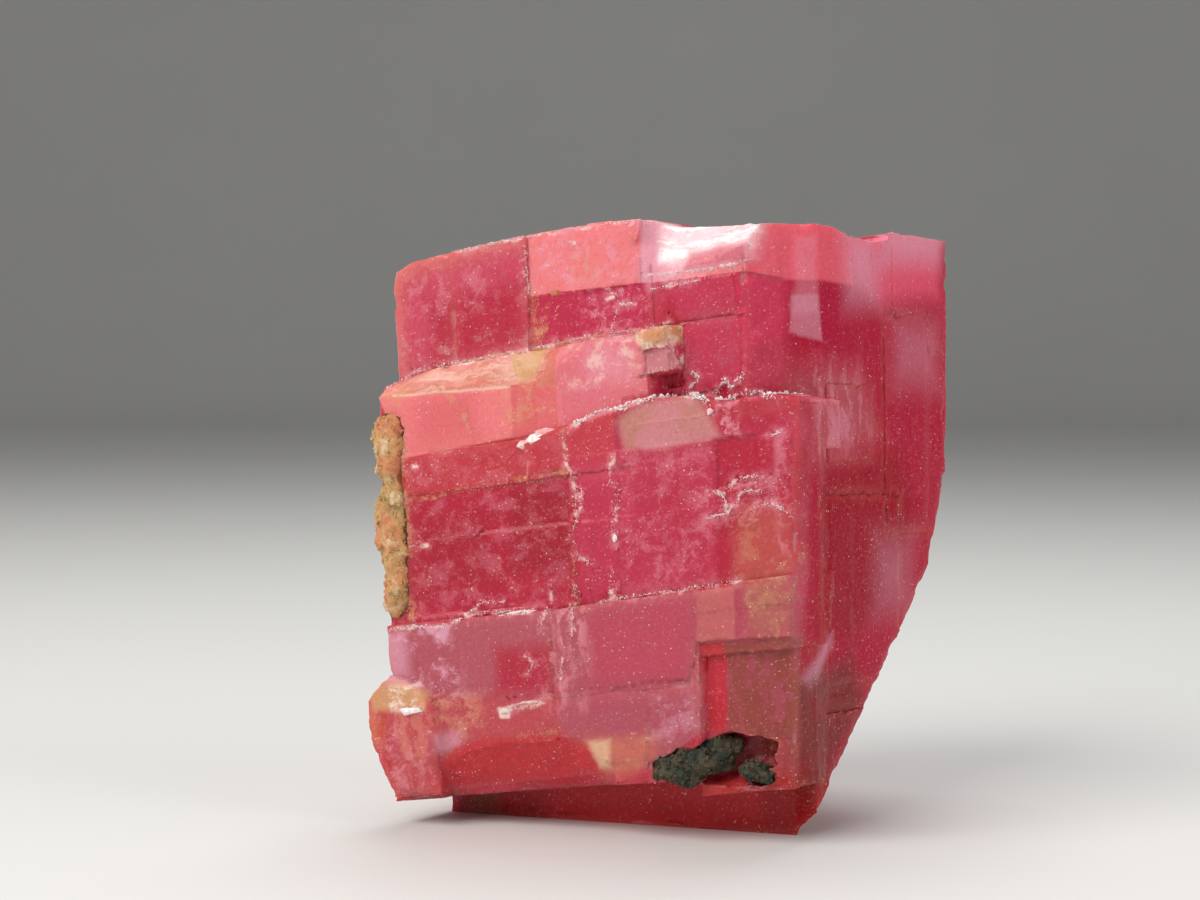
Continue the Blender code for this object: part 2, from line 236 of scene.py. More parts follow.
class Finish(Tree):
    """A material whose layers are added one by one, each over the tone so far."""

    def __init__(self, name):
        self.material = bpy.data.materials.new(name)
        self.material.use_nodes = True
        self.tree = self.material.node_tree
        self.shader = self.tree.nodes["Principled BSDF"]
        place = self.node("ShaderNodeTexCoord").outputs["Object"]
        self.place = self.vector("SCALE", place, scale=1 / MM)
        self.tone = None

    def sum(self, operation, first, second):
        return self.node("ShaderNodeMath", {0: first, 1: second}, operation=operation).outputs[0]

    def blocks(self, place, scale, loose):
        """Square-sided cells, as cleavage makes them, each with its own random colour."""
        feeds = {"Vector": place, "Scale": scale, "Randomness": loose}
        return self.node("ShaderNodeTexVoronoi", feeds, distance="CHEBYCHEV").outputs["Color"]

    def rise(self, value, low, high, top=1.0):
        """0 below low and top above high, with a soft rise between."""
        feeds = {"Value": value, "From Min": low, "From Max": high, "To Max": top}
        return self.node("ShaderNodeMapRange", feeds, interpolation_type="SMOOTHSTEP").outputs["Result"]

    def layer(self, mask, under, over):
        feeds = {"Factor": mask, 6: under, 7: over}
        return self.node("ShaderNodeMix", feeds, data_type="RGBA").outputs[2]

    def coat(self, mask, colour):
        """Lays a colour over the tone so far, where the mask is above 0."""
        self.tone = self.layer(mask, self.tone, colour)

    def number(self, name):
        """A number that the mesh carries at each of its points."""
        return self.node("ShaderNodeAttribute", attribute_name=name).outputs["Fac"]

    def bump(self, height, depth, under=None):
        """Fine relief, depth millimetres deep where height goes from 0 to 1."""
        feeds = {"Distance": depth * MM, "Height": height, "Normal": under}
        return self.node("ShaderNodeBump", feeds).outputs["Normal"]

    def set(self, **sockets):
        """Feeds the shader's sockets, and its colour with the tone."""
        self.feed(self.shader.inputs["Base Color"], self.tone)
        for key, value in sockets.items():
            self.feed(self.shader.inputs[key.replace("_", " ")], value)


# %% Pale floor
paper = Finish("pale_paper")
paper.tone = paper.layer(paper.clouds(paper.place, 0.02), shade(214, 214, 212), shade(222, 222, 220))
paper.set(Roughness=0.85)
floor.data.materials.append(paper.material)
print("floor colour is about", [round(value, 2) for value in shade(218, 218, 216)[:3]])

# %% [markdown]
# ## Where the stone has parted
# Cracks, and the borders of sheets that have broken off, are drawn first, as short
# paths over the front face. They are needed three times: the skin is cut finer
# beside them, its colour pales beside them, and crushed stone is laid along them.

# %% Paths of the seams, as "along,down" places on the front in mm, written the way SVG does
WHITE_PATHS = {
    "upper_ledge_seam": [
        "-10.3,3.19 -9.85,2.93 -9.61,2.76 -8.7,2.62 -7.89,2.66 -7.04,2.6 -6.21,2.55 -5.35,2.49 "
        "-4.68,2.44 -4.08,2.4 -2.94,2.42 -2.16,2.36", "-8.7,2.66 -6.2,2.6", "-4.6,2.5 -2.3,2.42"],
    "middle_ledge_seam": [
        "-4.45,4.83 -3.98,4.56 -3.49,4.5 -2.95,4.5 -2.69,4.45 -2.18,4.38",
        "-4.4,4.85 -3.9,4.6 -3.5,4.54 -3,4.56", "-2.18,4.41 -1.6,4.3 -0.77,4.62 -0.53,4.97",
        "-0.53,4.64 -0.22,4.45 0.1,4.5 1.2,4.8", "-0.95,4.4 -0.6,4.1 -0.4,4.3 -0.1,3.95",
        "-1.6,4.2 -1.35,3.9 -1.5,3.7"],
    "lower_ledge_seam": [
        "-10.2,9.98 -9.64,9.96 -9.17,9.94 -8.8,10.06 -7.98,9.91 -7.61,9.8 -7.13,9.78 -5.84,9.84",
        "-9.7,9.99 -9.1,9.98", "-7.1,9.82 -5.9,9.86", "-6.6,9.84 -5.95,9.88",
        "-7.92,9.8 -7.51,9.44 -6.75,9.52",
        "-4.01,9.8 -3.23,9.74 -2.59,9.7 -1.53,9.72 -1.3,9.66 0.15,9.62"],
    "upper_band_seam": [
        "-2.73,1.03 -2.07,1.04 -0.94,1.08 -0.28,1.04 0.05,0.97", "-1.9,1.05 -0.9,1.1",
        "-0.7,1.06 -0.25,1.06", "-2.6,1.39 -2.08,1.38 -1.08,1.34", "-3.84,1.19 -3.56,1.42 -3.85,1.51",
        "-3.49,1.67 -3.06,1.71", "-3.6,1.8 -3.75,2.3"],
    "top_edge_seam": [
        "-8.18,-0.4 -7.53,-0.42 -6.79,-0.47 -6.06,-0.5 -5.45,-0.5", "-8,-0.4 -6.3,-0.46",
        "-5.44,-0.5 -4.93,-0.5 -3.79,-0.5 -2.86,-0.42", "-6.12,-0.3 -6.09,1"],
    "upright_cracks": [
        "-4.79,5.07 -4.72,5.4 -4.7,5.82 -4.51,6.22 -4.5,6.8 -4.49,7.41 -4.66,7.87 -4.49,8.14 -4.56,8.41 "
        "-4.27,8.58 -3.97,8.8", "-4.31,6.63 -4.33,7.18",
        "-3.32,5.76 -3.51,6.39 -3.23,6.84 -3.31,7.4 -3.38,8 -3.37,8.31"],
    "lower_streaks": [
        "-5.3,9.1 -5.35,9.8 -5.55,10.4", "-4.62,9.18 -4.55,10.1 -4.6,11.07",
        "-3.51,9.02 -3.45,9.4 -3.53,9.57", "-4.9,11.3 -4.95,11.9"],
    "right_crackle": [
        "-0.68,7.04 -0.27,7.22 -0.02,6.93 0.4,6.79 1.05,6.89",
        "-0.27,7.22 -0.17,7.67 0.08,7.5 0.25,7.17 0.86,7.24", "0.44,7.73 0.91,7.57 1.2,7.66 1.58,8.02",
        "-0.78,7.79 -0.09,7.73", "1.1,5.75 1.35,5.72"],
    "window_rims": [
        "-2.5,3.04 -1.78,3.02 -1.74,3.6", "-2.46,3.69 -1.77,3.66", "-1.6,3.75 -1.4,3.95 -1.6,4.15",
        "-2.86,2.55 -2.5,2.62"],
    "small_bruises": [
        "-9.61,5.5 -9.38,5.42 -9.18,5.43", "-9.6,7.64 -9.02,7.69", "-5.02,-0.26 -4.66,-0.05",
        "-6.9,12.56 -6.2,12.46 -5.49,12.36", "-6.85,12.62 -6.5,12.6", "-9.9,12.3 -9.1,12.34",
        "-6,11.1 -5.76,11.3 -5.95,11.6"],
}
TAN_PATHS = {
    "tan_veins": [
        "-8.63,3.32 -8.1,3.69 -7.76,4.07 -7.71,4.41 -7.59,4.87",
        "-9.66,6.36 -8.15,6.26 -7.54,6.16 -5.88,6.16 -4.69,6.13", "-4.79,4.95 -4.72,5.4 -4.64,5.66",
        "-4.66,8.2 -4.62,9.1 -4.5,9.9", "-9.05,12.2 -8.3,12.3 -7.6,12.4",
        "-6.2,13.4 -5.5,13.36 -5.05,13.37", "-6.05,0.9 -5.95,1.8"],
}
SEAM_STEP = 0.04


def spots(text):
    """The places that a text such as "-8.7,2.66 -6.2,2.6" lists."""
    return [tuple(float(value) for value in pair.split(",")) for pair in text.split()]


def walked(corners, step):
    """Points along a path, a step apart, up to its last corner."""
    found = []
    for (ua, va), (ub, vb) in zip(corners, corners[1:]):
        parts = max(1, round(math.hypot(ub - ua, vb - va) / step))
        found += [(ua + (ub - ua) * i / parts, va + (vb - va) * i / parts) for i in range(parts)]
    return found + [corners[-1]]


def gap_finder(groups):
    """A function that tells how far a spot of the front is from the nearest of the paths."""
    paths = [spots(text) for texts in groups.values() for text in texts]
    tree = search_tree([(*spot, 0) for corners in paths for spot in walked(corners, SEAM_STEP)])
    return lambda along, down: tree.find((along, down, 0))[2]


white_gap = gap_finder(WHITE_PATHS)
tan_gap = gap_finder(TAN_PATHS)
print("groups of seams:", len(WHITE_PATHS) + len(TAN_PATHS))

# %% [markdown]
# ## The skin of the crystal
# The frame's crystal is about two thousand flat triangles. A real cleavage face is
# flat too, but it is a mosaic: thin sheets broken off one by one leave steps as
# high as a hair is thick, and each little face leans its own way and shines on its
# own. A copy of the solid is cut into small triangles, finer at the front and at
# the right, where a step has to stay crisp, and its points are then moved.

# %% Copy of the crystal, welded and cut fine
FRONT_EDGE = 0.17
SEAM_EDGE = 0.09
SEAM_STRIP = 0.14
RIGHT_EDGE = 0.2
OTHER_EDGE = 0.42
FRONT_DEPTH = 0.6
RIGHT_START = 0.7
WELD = 1e-7
MOST_ROUNDS = 8


def welded(node):
    """The frame's loose triangles as one closed mesh."""
    form = bmesh.new()
    form.from_mesh(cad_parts[node].data)
    bmesh.ops.remove_doubles(form, verts=form.verts, dist=WELD)
    bmesh.ops.recalc_face_normals(form, faces=form.faces)
    return form


def cut_fine(form, longest_at):
    """Splits every edge that is longer than its place allows, in rounds that halve it."""
    for _ in range(MOST_ROUNDS):
        too_long = [e for e in form.edges
                    if e.calc_length() > longest_at((e.verts[0].co + e.verts[1].co) / 2)]
        if not too_long:
            break
        bmesh.ops.subdivide_edges(form, edges=too_long, cuts=1)
        bmesh.ops.triangulate(form, faces=[f for f in form.faces if len(f.verts) > 3],
                              quad_method="SHORT_EDGE")
    return form


def longest_on_crystal(middle):
    """The longest edge that the crystal's skin may have at a place, in metres."""
    along, down, back = lattice_of(middle)
    if back < FRONT_DEPTH:
        beside = min(white_gap(along, down), tan_gap(along, down)) < SEAM_STRIP
        return (SEAM_EDGE if beside else FRONT_EDGE) * MM
    return (RIGHT_EDGE if along > RIGHT_START else OTHER_EDGE) * MM


crystal_form = welded("rhodochrosite_crystal")
print("open edges:", sum(not edge.is_manifold for edge in crystal_form.edges))

# %% Where the edges are, and how worn each place on them is
SHARP = math.radians(22)
EDGE_STEP = 0.08


def edge_places(form):
    """Points along the outward edges, each with the direction that faces away from the stone."""
    places = []
    for edge in form.edges:
        if len(edge.link_faces) != 2 or edge.calc_face_angle_signed() < SHARP:
            continue
        away = (edge.link_faces[0].normal + edge.link_faces[1].normal).normalized()
        start, end = (vertex.co.copy() for vertex in edge.verts)
        count = max(1, round((end - start).length / MM / EDGE_STEP))
        places += [(start.lerp(end, (i + 0.5) / count), away) for i in range(count)]
    return places


crystal_edges = edge_places(crystal_form)
edge_tree = search_tree([place for place, _ in crystal_edges])
print("places along outward edges:", len(crystal_edges))

# %% The cutting itself
cut_fine(crystal_form, longest_on_crystal)

# Steps that time has rounded off: (left, right), (top, bottom) and how many rounds of smoothing.
ROUNDED = [((-9.5, -8.3), (11.6, 14.9), 20), ((-6.35, -5.8), (-0.75, 2.45), 6),
           ((-8.5, -7.7), (-0.75, 2.5), 6), ((-3.9, -1.1), (11.8, 12.6), 8)]
on_crystal = [(vertex, lattice_of(vertex.co)) for vertex in crystal_form.verts]
for (left, right), (top, bottom), rounds in ROUNDED:
    soft = [vertex for vertex, (along, down, back) in on_crystal
            if left < along < right and top < down < bottom and back < FRONT_DEPTH]
    for _ in range(rounds):
        bmesh.ops.smooth_vert(crystal_form, verts=soft, factor=0.5,
                              use_axis_x=True, use_axis_y=True, use_axis_z=True)
crystal_form.normal_update()
print("triangles in the skin:", len(crystal_form.faces))

# %% [markdown]
# ### Steps of the cleavage mosaic
# Each flat face is divided again and again into smaller oblongs, the way the stone
# itself parts, and each oblong gets its own small height and lean. Steps that are
# known by name, such as the two square windows under the upper ledge, are added to
# that. Points next to a step's line are drawn up to the line, so that the
# step is a small cliff and not a slope.

# %% The oblongs
REACH = 0.09
PULL = 0.12
LEAST_SIDE = 0.9
FIRST_CHANCE = 0.02
TIRING = 0.06


def parted(box, chance, dice):
    """Oblongs that fill a box of (low, high) spans, unless by chance it stays whole."""
    (left, right), (top, bottom) = box
    width, height = right - left, bottom - top
    if max(width, height) < LEAST_SIDE * 2 or dice.random() < chance:
        return [box]
    share = dice.uniform(0.3, 0.7)
    if width > height:
        middle = left + share * width
        halves = ((left, middle), (top, bottom)), ((middle, right), (top, bottom))
    else:
        middle = top + share * height
        halves = ((left, right), (top, middle)), ((left, right), (middle, bottom))
    return [oblong for half in halves for oblong in parted(half, chance + TIRING, dice)]


def draw_up(moved, chosen, axes, oblong):
    """Chosen points near an oblong's sides move up to them, and stay on their own side."""
    for axis, lines in zip(axes, oblong):
        for line in lines:
            gap = moved[chosen, axis] - line
            near = np.abs(gap) < REACH
            moved[chosen, axis] = np.where(near, line + gap * PULL, moved[chosen, axis])


def inside(places, axes, oblong, margin=0.0):
    """Which places lie in an oblong, or so many millimetres beside it."""
    first, second = places[:, axes[0]], places[:, axes[1]]
    (left, right), (top, bottom) = oblong
    return ((first > left - margin) & (first < right + margin)
            & (second > top - margin) & (second < bottom + margin))


WHOLE = ((-11.5, 10.5), (-2.0, 19.0))
mosaic = {family: parted(WHOLE, FIRST_CHANCE, random.Random(seed))
          for family, seed in (("front", 5), ("side", 8), ("level", 13))}
print("oblongs on each family of faces:", {name: len(found) for name, found in mosaic.items()})

# %% Steps on the front that are known by name: (left, right), (top, bottom), height in mm
FRONT_STEPS = {
    "ivory window": (((-2.86, -1.80), (2.50, 3.03)), 0.05),
    "grey window": (((-2.48, -1.75), (3.06, 3.66)), -0.04),
    "red notch": (((-2.30, -1.77), (3.70, 4.12)), -0.10),
    "jog in the upper band": (((-4.68, -2.9), (-0.9, 1.19)), 0.03),
    "frosted scoop": (((-3.20, -0.55), (4.3, 5.72)), -0.035),
    "red block": (((-0.45, 0.72), (5.72, 7.05)), -0.05),
    "deep square": (((-9.75, -4.68), (6.22, 9.7)), -0.04),
    "left column": (((-9.75, -7.9), (-0.8, 2.6)), 0.008),
    "rose column": (((-2.1, -0.16), (1.28, 4.3)), 0.035),
    "outer leaf": (((-4.4, -3.25), (5.7, 9.6)), 0.015),
    "pale wedge": (((0.5, 0.9), (0.3, 3.0)), 0.03),
}
print("named steps:", ", ".join(FRONT_STEPS))

# %% Points of the skin as arrays
count = len(crystal_form.verts)
crystal_form.verts.ensure_lookup_table()
points = np.array([vertex.co for vertex in crystal_form.verts])
normals = np.array([vertex.normal for vertex in crystal_form.verts])
to_lattice = np.array(TO_LATTICE)
places = (points / MM - np.array(RIDGE_TOP)) @ to_lattice.T
facing = {
    "front": np.array(ALONG.cross(DOWN).normalized()),
    "side": np.array(DOWN.cross(BACK).normalized()),
    "level": np.array(BACK.cross(ALONG).normalized()),
}
spans = {"front": (0, 1), "side": (2, 1), "level": (0, 2)}
likeness = {name: np.abs(normals @ normal) for name, normal in facing.items()}
cleaved = np.maximum.reduce(list(likeness.values()))
TRUE_CLEAVAGE = 0.985
print("share of the skin that is true cleavage:", round(float((cleaved > TRUE_CLEAVAGE).mean()), 2))

# %% Heights and leans of the mosaic
HEIGHT = 0.006
LEAN = 0.003
STEP_DEPTH = 1.0
NEAR_CLEAVAGE = 0.9

rise = np.zeros(count)
moved = places.copy()
for family, oblongs in mosaic.items():
    dice = random.Random(len(oblongs))
    on_it = (likeness[family] == cleaved) & (cleaved > TRUE_CLEAVAGE)
    across, along = axes = spans[family]
    for oblong in oblongs:
        chosen = on_it & inside(places, axes, oblong)
        middle = [sum(side) / 2 for side in oblong]
        rise[chosen] += (dice.uniform(-HEIGHT, HEIGHT)
                         + dice.uniform(-LEAN, LEAN) * (places[chosen, across] - middle[0])
                         + dice.uniform(-LEAN, LEAN) * (places[chosen, along] - middle[1]))
        draw_up(moved, chosen, axes, oblong)

front = (likeness["front"] == cleaved) & (places[:, 2] < STEP_DEPTH) & (cleaved > NEAR_CLEAVAGE)
for oblong, height in FRONT_STEPS.values():
    rise[front & inside(places, spans["front"], oblong)] += height
    beside = front & inside(places, spans["front"], oblong, REACH)
    draw_up(moved, beside, spans["front"], oblong)
print("steps go from", round(float(rise.min()), 3), "to", round(float(rise.max()), 3), "mm")

# %% [markdown]
# ### Worn edges and broken faces
# The sharp edges of a soft stone are nibbled: most of an edge keeps a fine white
# line of bruising, and here and there a splinter is gone. Faces that do not follow
# the cleavage are rough breaks. Both are noise that moves the points inwards, and
# four numbers stay on the mesh so that the colour can follow the wear and the seams,
# and lay a painted glow along the edges.

# %% Bites out of the edges, and rough breaks
BITE_WIDTH = 0.34
BITE = 0.16
WORN = 0.035
EDGE_ZONE = 0.9
ROUGH = 0.055
FINE_ROUGH = 0.0035
BREAK_SPAN = 0.05
FAR_AWAY = 9.0

bruise = np.zeros(count)
near_edge = np.zeros(count)
white_seam = np.full(count, FAR_AWAY)
tan_seam = np.full(count, FAR_AWAY)
wear = np.zeros((count, 3))
roughness = np.zeros(count)
for index in range(count):
    place = crystal_form.verts[index].co
    grain = Vector(places[index])
    _, edge, distance = edge_tree.find(place)
    distance /= MM
    near_edge[index] = max(0.0, 1 - distance / EDGE_ZONE)
    if grain.z < FRONT_DEPTH:
        white_seam[index] = white_gap(grain.x, grain.y)
        tan_seam[index] = tan_gap(grain.x, grain.y)
    if distance < BITE_WIDTH:
        gone = max(0.0, noise.noise(grain * 1.1) + 0.6 * noise.noise(grain * 3.7) - 0.12)
        depth = WORN * (1 + noise.noise(grain * 7.0)) + BITE * gone
        fade = (1 - distance / BITE_WIDTH) ** 1.6
        wear[index] = -np.array(crystal_edges[edge][1]) * depth * fade
        shown_wear = 1.0 if grain.z < FRONT_DEPTH else 0.5
        bruise[index] = shown_wear * fade * min(1.0, 0.35 + 1.6 * gone + 0.5 * noise.noise(grain * 5.0))
    broken = min(1.0, max(0.0, (TRUE_CLEAVAGE - cleaved[index]) / BREAK_SPAN))
    hackle = noise.fractal(grain * 1.6, 0.7, 2.1, 5)
    fine = noise.fractal(grain * 6.0, 0.9, 2.0, 3)
    roughness[index] = broken * ROUGH * hackle + FINE_ROUGH * fine
print("bruised points:", int((bruise > 0.3).sum()))

# %% The points are moved, and the flat foot stays flat
REST = 0.02

shifted = (np.array(RIDGE_TOP) + moved @ np.array(LATTICE).T) * MM
shifted += normals * ((rise + roughness) * (1 - near_edge ** 6))[:, None] * MM + wear * MM
low, high = (np.array(corner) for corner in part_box("rhodochrosite_crystal"))
shifted = np.clip(shifted, low, high)
on_foot = points[:, 2] < low[2] + REST * MM
shifted[on_foot] = points[on_foot]
for index, vertex in enumerate(crystal_form.verts):
    vertex.co = shifted[index]
print("largest move in mm:", round(float(np.abs(shifted - points).max() / MM), 3))

# %% The skin becomes the crystal that is seen
CREASE = math.radians(24)


def made_of(form, name, numbers):
    """A piece with crisp edges, and with the numbers that its finish reads."""
    piece = from_form(name, form)
    for key, values in numbers.items():
        attribute = piece.data.attributes.new(key, "FLOAT", "POINT")
        attribute.data.foreach_set("value", values.astype(np.float32))
    piece.data.shade_smooth()
    piece.data.set_sharp_from_angle(angle=CREASE)
    return piece


wear_seam_and_glow = {"bruise": bruise, "near_edge": near_edge, "white_seam": white_seam, "tan_seam": tan_seam}
crystal = made_of(crystal_form, "crystal_skin", wear_seam_and_glow)
crystal_surface = BVHTree.FromBMesh(crystal_form)
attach(crystal, "root")
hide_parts("rhodochrosite_crystal")
print("crystal skin in mm:", [round(size / MM, 2) for size in crystal.dimensions])

# %% [markdown]
# ## The colour of the crystal
# The stone is cloudy red all through. Light goes in, is scattered and comes out
# tinted, so thin places glow salmon and deep places are crimson. Where that glow is
# strongest, on thin rims and in the upper band, it is painted into the colour too,
# and so are a few highlights and the shade at the foot. Old cleavage planes inside
# it act as borders: the colour changes along lines as straight as ruled ones. So
# the finish is worked out in the stone's own directions: clouds first, then panes
# with crisp or soft borders, then haze, stains, frost and dust, which are patchy
# and are laid on through a cloud pattern.

# %% Palette of the stone
CRIMSON = shade(180, 14, 52)
DEEP = shade(160, 3, 34)
ROSE = shade(196, 50, 84)
SALMON = shade(238, 127, 131)
CORAL = shade(200, 62, 66)
PEACH = shade(220, 136, 116)
PINK = shade(234, 152, 170)
LILAC = shade(226, 164, 186)
MAUVE = shade(178, 74, 98)
FROST = shade(206, 136, 140)
TAN = shade(212, 162, 112)
OLIVE = shade(168, 118, 74)
IVORY = shade(248, 226, 208)
# WHITE is used only for painted highlights and glints.
WHITE = shade(252, 244, 242)
SCARLET = shade(192, 26, 38)
# Dark red, used only as painted shade at the foot.
SHADED_WINE = shade(164, 8, 16)
BROWN = shade(140, 66, 52)

# %% The stone's directions as node values
stone = Finish("rhodochrosite")


def along_direction(row):
    """How far a place lies along one of the stone's directions, in millimetres."""
    reach = stone.vector("DOT_PRODUCT", stone.place, tuple(row))
    return stone.sum("SUBTRACT", reach, row.dot(RIDGE_TOP))


def together(*values):
    return stone.node("ShaderNodeCombineXYZ", enumerate(values)).outputs[0]


WAVER = 0.12
lattice_place = together(*(along_direction(row) for row in TO_LATTICE))
drift = stone.clouds(lattice_place, 1.1, detail=5, rough=0.6, colour=True)
drift = stone.vector("SUBTRACT", drift, (0.5, 0.5, 0.5))
wavering = stone.vector("ADD", lattice_place, stone.vector("SCALE", drift, scale=WAVER))
along, down, back = stone.node("ShaderNodeSeparateXYZ", {0: wavering}).outputs
front_sheet = together(along, down, 1.0)
sheets = {"front": front_sheet, "foot": front_sheet, "right": together(back, down, 1.0)}
shown_on = {"front": stone.rise(back, 2.2, 0.55), "foot": stone.rise(down, 14.7, 15.0),
            "right": stone.sum("MULTIPLY", stone.rise(along, 0.35, 0.6), stone.rise(back, -0.6, -0.1))}
print("nodes for the stone's directions:", len(stone.tree.nodes))

# %% Cloud patterns that the layers share
cloudy = stone.clouds(lattice_place, 0.55, detail=6, rough=0.62)
warped = stone.vector("ADD", lattice_place, stone.vector("SCALE", drift, scale=0.9))
wispy = stone.clouds(warped, 1.7, detail=8, rough=0.74)
upright = stone.clouds(stone.vector("MULTIPLY", warped, (3.0, 0.4, 3.0)), 1.0, detail=5, rough=0.6)
level = stone.clouds(stone.vector("MULTIPLY", warped, (0.6, 4.5, 1.0)), 1.0, detail=6, rough=0.65)
grainy = stone.clouds(lattice_place, 9.0, detail=3, rough=0.75)
PATTERNS = {
    "cloudy": stone.rise(cloudy, 0.42, 0.60),
    "wispy": stone.rise(wispy, 0.47, 0.60),
    "upright": stone.rise(upright, 0.46, 0.62),
    "level": stone.rise(level, 0.46, 0.58),
}
print("patterns:", ", ".join(PATTERNS))

# %% Clouds and oblongs all through the block
stretched = stone.vector("MULTIPLY", lattice_place, (0.34, 0.2, 0.3))
pane = stone.blocks(stone.vector("ADD", stretched, stone.vector("SCALE", drift, scale=0.03)), 1.0, 0.8)
pane_tone = stone.vector("DOT_PRODUCT", pane, (0.4, 0.3, 0.3))
stone.tone = stone.layer(stone.rise(cloudy, 0.40, 0.64), CRIMSON, ROSE)
stone.coat(stone.rise(pane_tone, 0.25, 0.75, 0.35), DEEP)
stone.coat(stone.rise(wispy, 0.5, 0.7, 0.35), MAUVE)
elsewhere = stone.sum("MULTIPLY", stone.rise(back, 0.6, 2.4), stone.rise(along, 0.6, 0.2))
broad = stone.clouds(lattice_place, 0.24, detail=4, rough=0.55)
for mask, colour in ((stone.rise(broad, 0.50, 0.60, 0.7), CORAL),
                     (stone.rise(broad, 0.56, 0.66, 0.6), FROST),
                     (stone.rise(pane_tone, 0.60, 0.35, 0.45), MAUVE),
                     (stone.rise(wispy, 0.50, 0.64, 0.35), LILAC)):
    stone.coat(stone.sum("MULTIPLY", elsewhere, mask), colour)

# %% How a pane of colour is laid on
def outline_of(corners):
    """The tight outline round some corners, without any that lie inside it."""
    chain = []
    for row in (sorted(corners), sorted(corners, reverse=True)):
        side = []
        for spot in row:
            while len(side) > 1 and ((side[-1][0] - side[-2][0]) * (spot[1] - side[-2][1])
                                     <= (side[-1][1] - side[-2][1]) * (spot[0] - side[-2][0])):
                side.pop()
            side.append(spot)
        chain += side[:-1]
    return chain


def pane_mask(on, corners, soft, strength):
    """Strength inside the outline of some corners, and nothing outside, across a soft border in mm."""
    depth = None
    corners = outline_of(spots(corners))
    for (ua, va), (ub, vb) in zip(corners, corners[1:] + corners[:1]):
        length = math.hypot(ub - ua, vb - va)
        side = ((va - vb) / length, (ub - ua) / length)
        offset = -(side[0] * ua + side[1] * va)
        inward = stone.vector("DOT_PRODUCT", sheets[on], (*side, offset))
        depth = inward if depth is None else stone.sum("MINIMUM", depth, inward)
    mask = stone.rise(depth, -soft / 2, soft / 2, strength)
    return stone.sum("MULTIPLY", mask, shown_on[on])


def paint(on, corners, colour, soft, strength, through=None):
    """Lays a colour over the stone inside an outline, all over or through a cloud pattern."""
    mask = pane_mask(on, corners, soft, strength)
    if through is not None:
        mask = stone.sum("MULTIPLY", mask, PATTERNS[through])
    stone.coat(mask, colour)
    return mask


def paint_all(on, panes):
    """Paints rows of (corners, colour, width of the soft border in mm, strength, pattern)."""
    for pane in panes:
        paint(on, *pane)
    print(len(panes), "panes on the", on)


# %% Panes above the upper ledge
paint_all("front", [
    ("-10.4,-0.9 -6.06,-0.9 -6.06,2.7 -10.4,2.9", shade(206, 74, 98), 0.1, 0.75),
    ("-9,0.8 -6.1,0.7 -6.08,2.4 -8.9,2.5", CRIMSON, 0.9, 0.85),
    # Painted glow: peach along the thin left and top rims of the block, where light comes through.
    ("-10.4,-0.9 -9.75,-0.9 -9.9,3 -10.4,3", PEACH, 0.8, 0.5),
    ("-10.2,-0.9 -6.08,-0.9 -6.08,-0.3 -9.9,0.15", PEACH, 0.8, 0.4),
    ("-10,1.8 -5.8,2.05 -5.8,2.6 -9.4,2.8 -10,3", FROST, 0.5, 0.65, "wispy"),
    ("-9.9,0 -6.3,-0.3 -6.2,1.2 -9.7,1.5", PINK, 0.9, 0.3, "wispy"),
    ("-6.06,1.08 -4.69,1.04 -4.62,2.55 -6.06,2.7", shade(190, 30, 70), 0.05, 0.85),
    ("-4.68,1.19 -2.9,1.19 -2.1,2.4 -4.66,2.6", shade(194, 34, 78), 0.05, 0.8),
    ("-6,1.1 -5.6,1.1 -5.6,2.5 -6,2.5", TAN, 0.3, 0.7, "wispy"),
    ("-4.6,1.2 -2.6,1.2 -2.8,2.4 -4.5,2.5", PINK, 0.3, 0.7, "wispy"),
    ("-1.91,1.25 -0.34,1.26 -0.19,2.8 -0.2,4.5 -1.6,4.3 -1.9,2.6", ROSE, 0.12, 0.75),
    ("-1.8,2.2 -0.3,2.2 -0.3,4.4 -1.5,4.3", MAUVE, 0.7, 0.6, "cloudy"),
    ("-0.3,2.6 0.9,2 1.9,4.7 -0.3,4.4", shade(204, 44, 82), 0.4, 0.75),
    ("-0.28,1.27 0.9,1.78 0.6,2.9 0.03,3.3 -0.24,2.54", shade(208, 28, 80), 0.1, 0.9),
    # Painted glow: the salmon upper band is the top layer, lit by light caught above an inner cleavage
    # crack.
    ("-6.06,-1 -0.03,-0.9 -0.03,1.28 -2.2,1.22 -6.06,1.08", SALMON, 0.04, 0.95),
    ("-6,-0.8 -3,-0.8 -3,1.1 -6,1", PINK, 0.4, 0.6, "wispy"),
    ("-4.8,0.25 -4.2,0.2 -4.1,0.85 -4.7,0.9", TAN, 0.5, 0.9, "wispy"),
    # Painted glow: the upper band goes on past the ridge.
    ("-0.03,-0.9 1.2,-0.9 1.2,1.6 0.66,1.5 -0.03,1.28", shade(236, 92, 110), 0.04, 0.9),
    ("-2.97,-0.7 -2.75,-0.7 -2.22,1.22 -2.91,1.19", LILAC, 0.12, 0.75),
    ("-2.75,-0.7 0.2,-0.7 0.1,0.9 -2.22,1.22", shade(238, 194, 208), 0.4, 0.8),
    # Painted highlight: white streaks where the chipped top facet catches the light.
    ("-2.75,-0.7 0.2,-0.7 0.1,0.6 -2.4,0.7", WHITE, 0.3, 0.3),
    ("-2.75,-0.7 0.2,-0.7 0.1,0.6 -2.4,0.7", WHITE, 0.3, 1, "level"),
    ("-1.7,0.5 0,0.5 0,1 -1.7,1.05", ROSE, 0.3, 0.7),
])

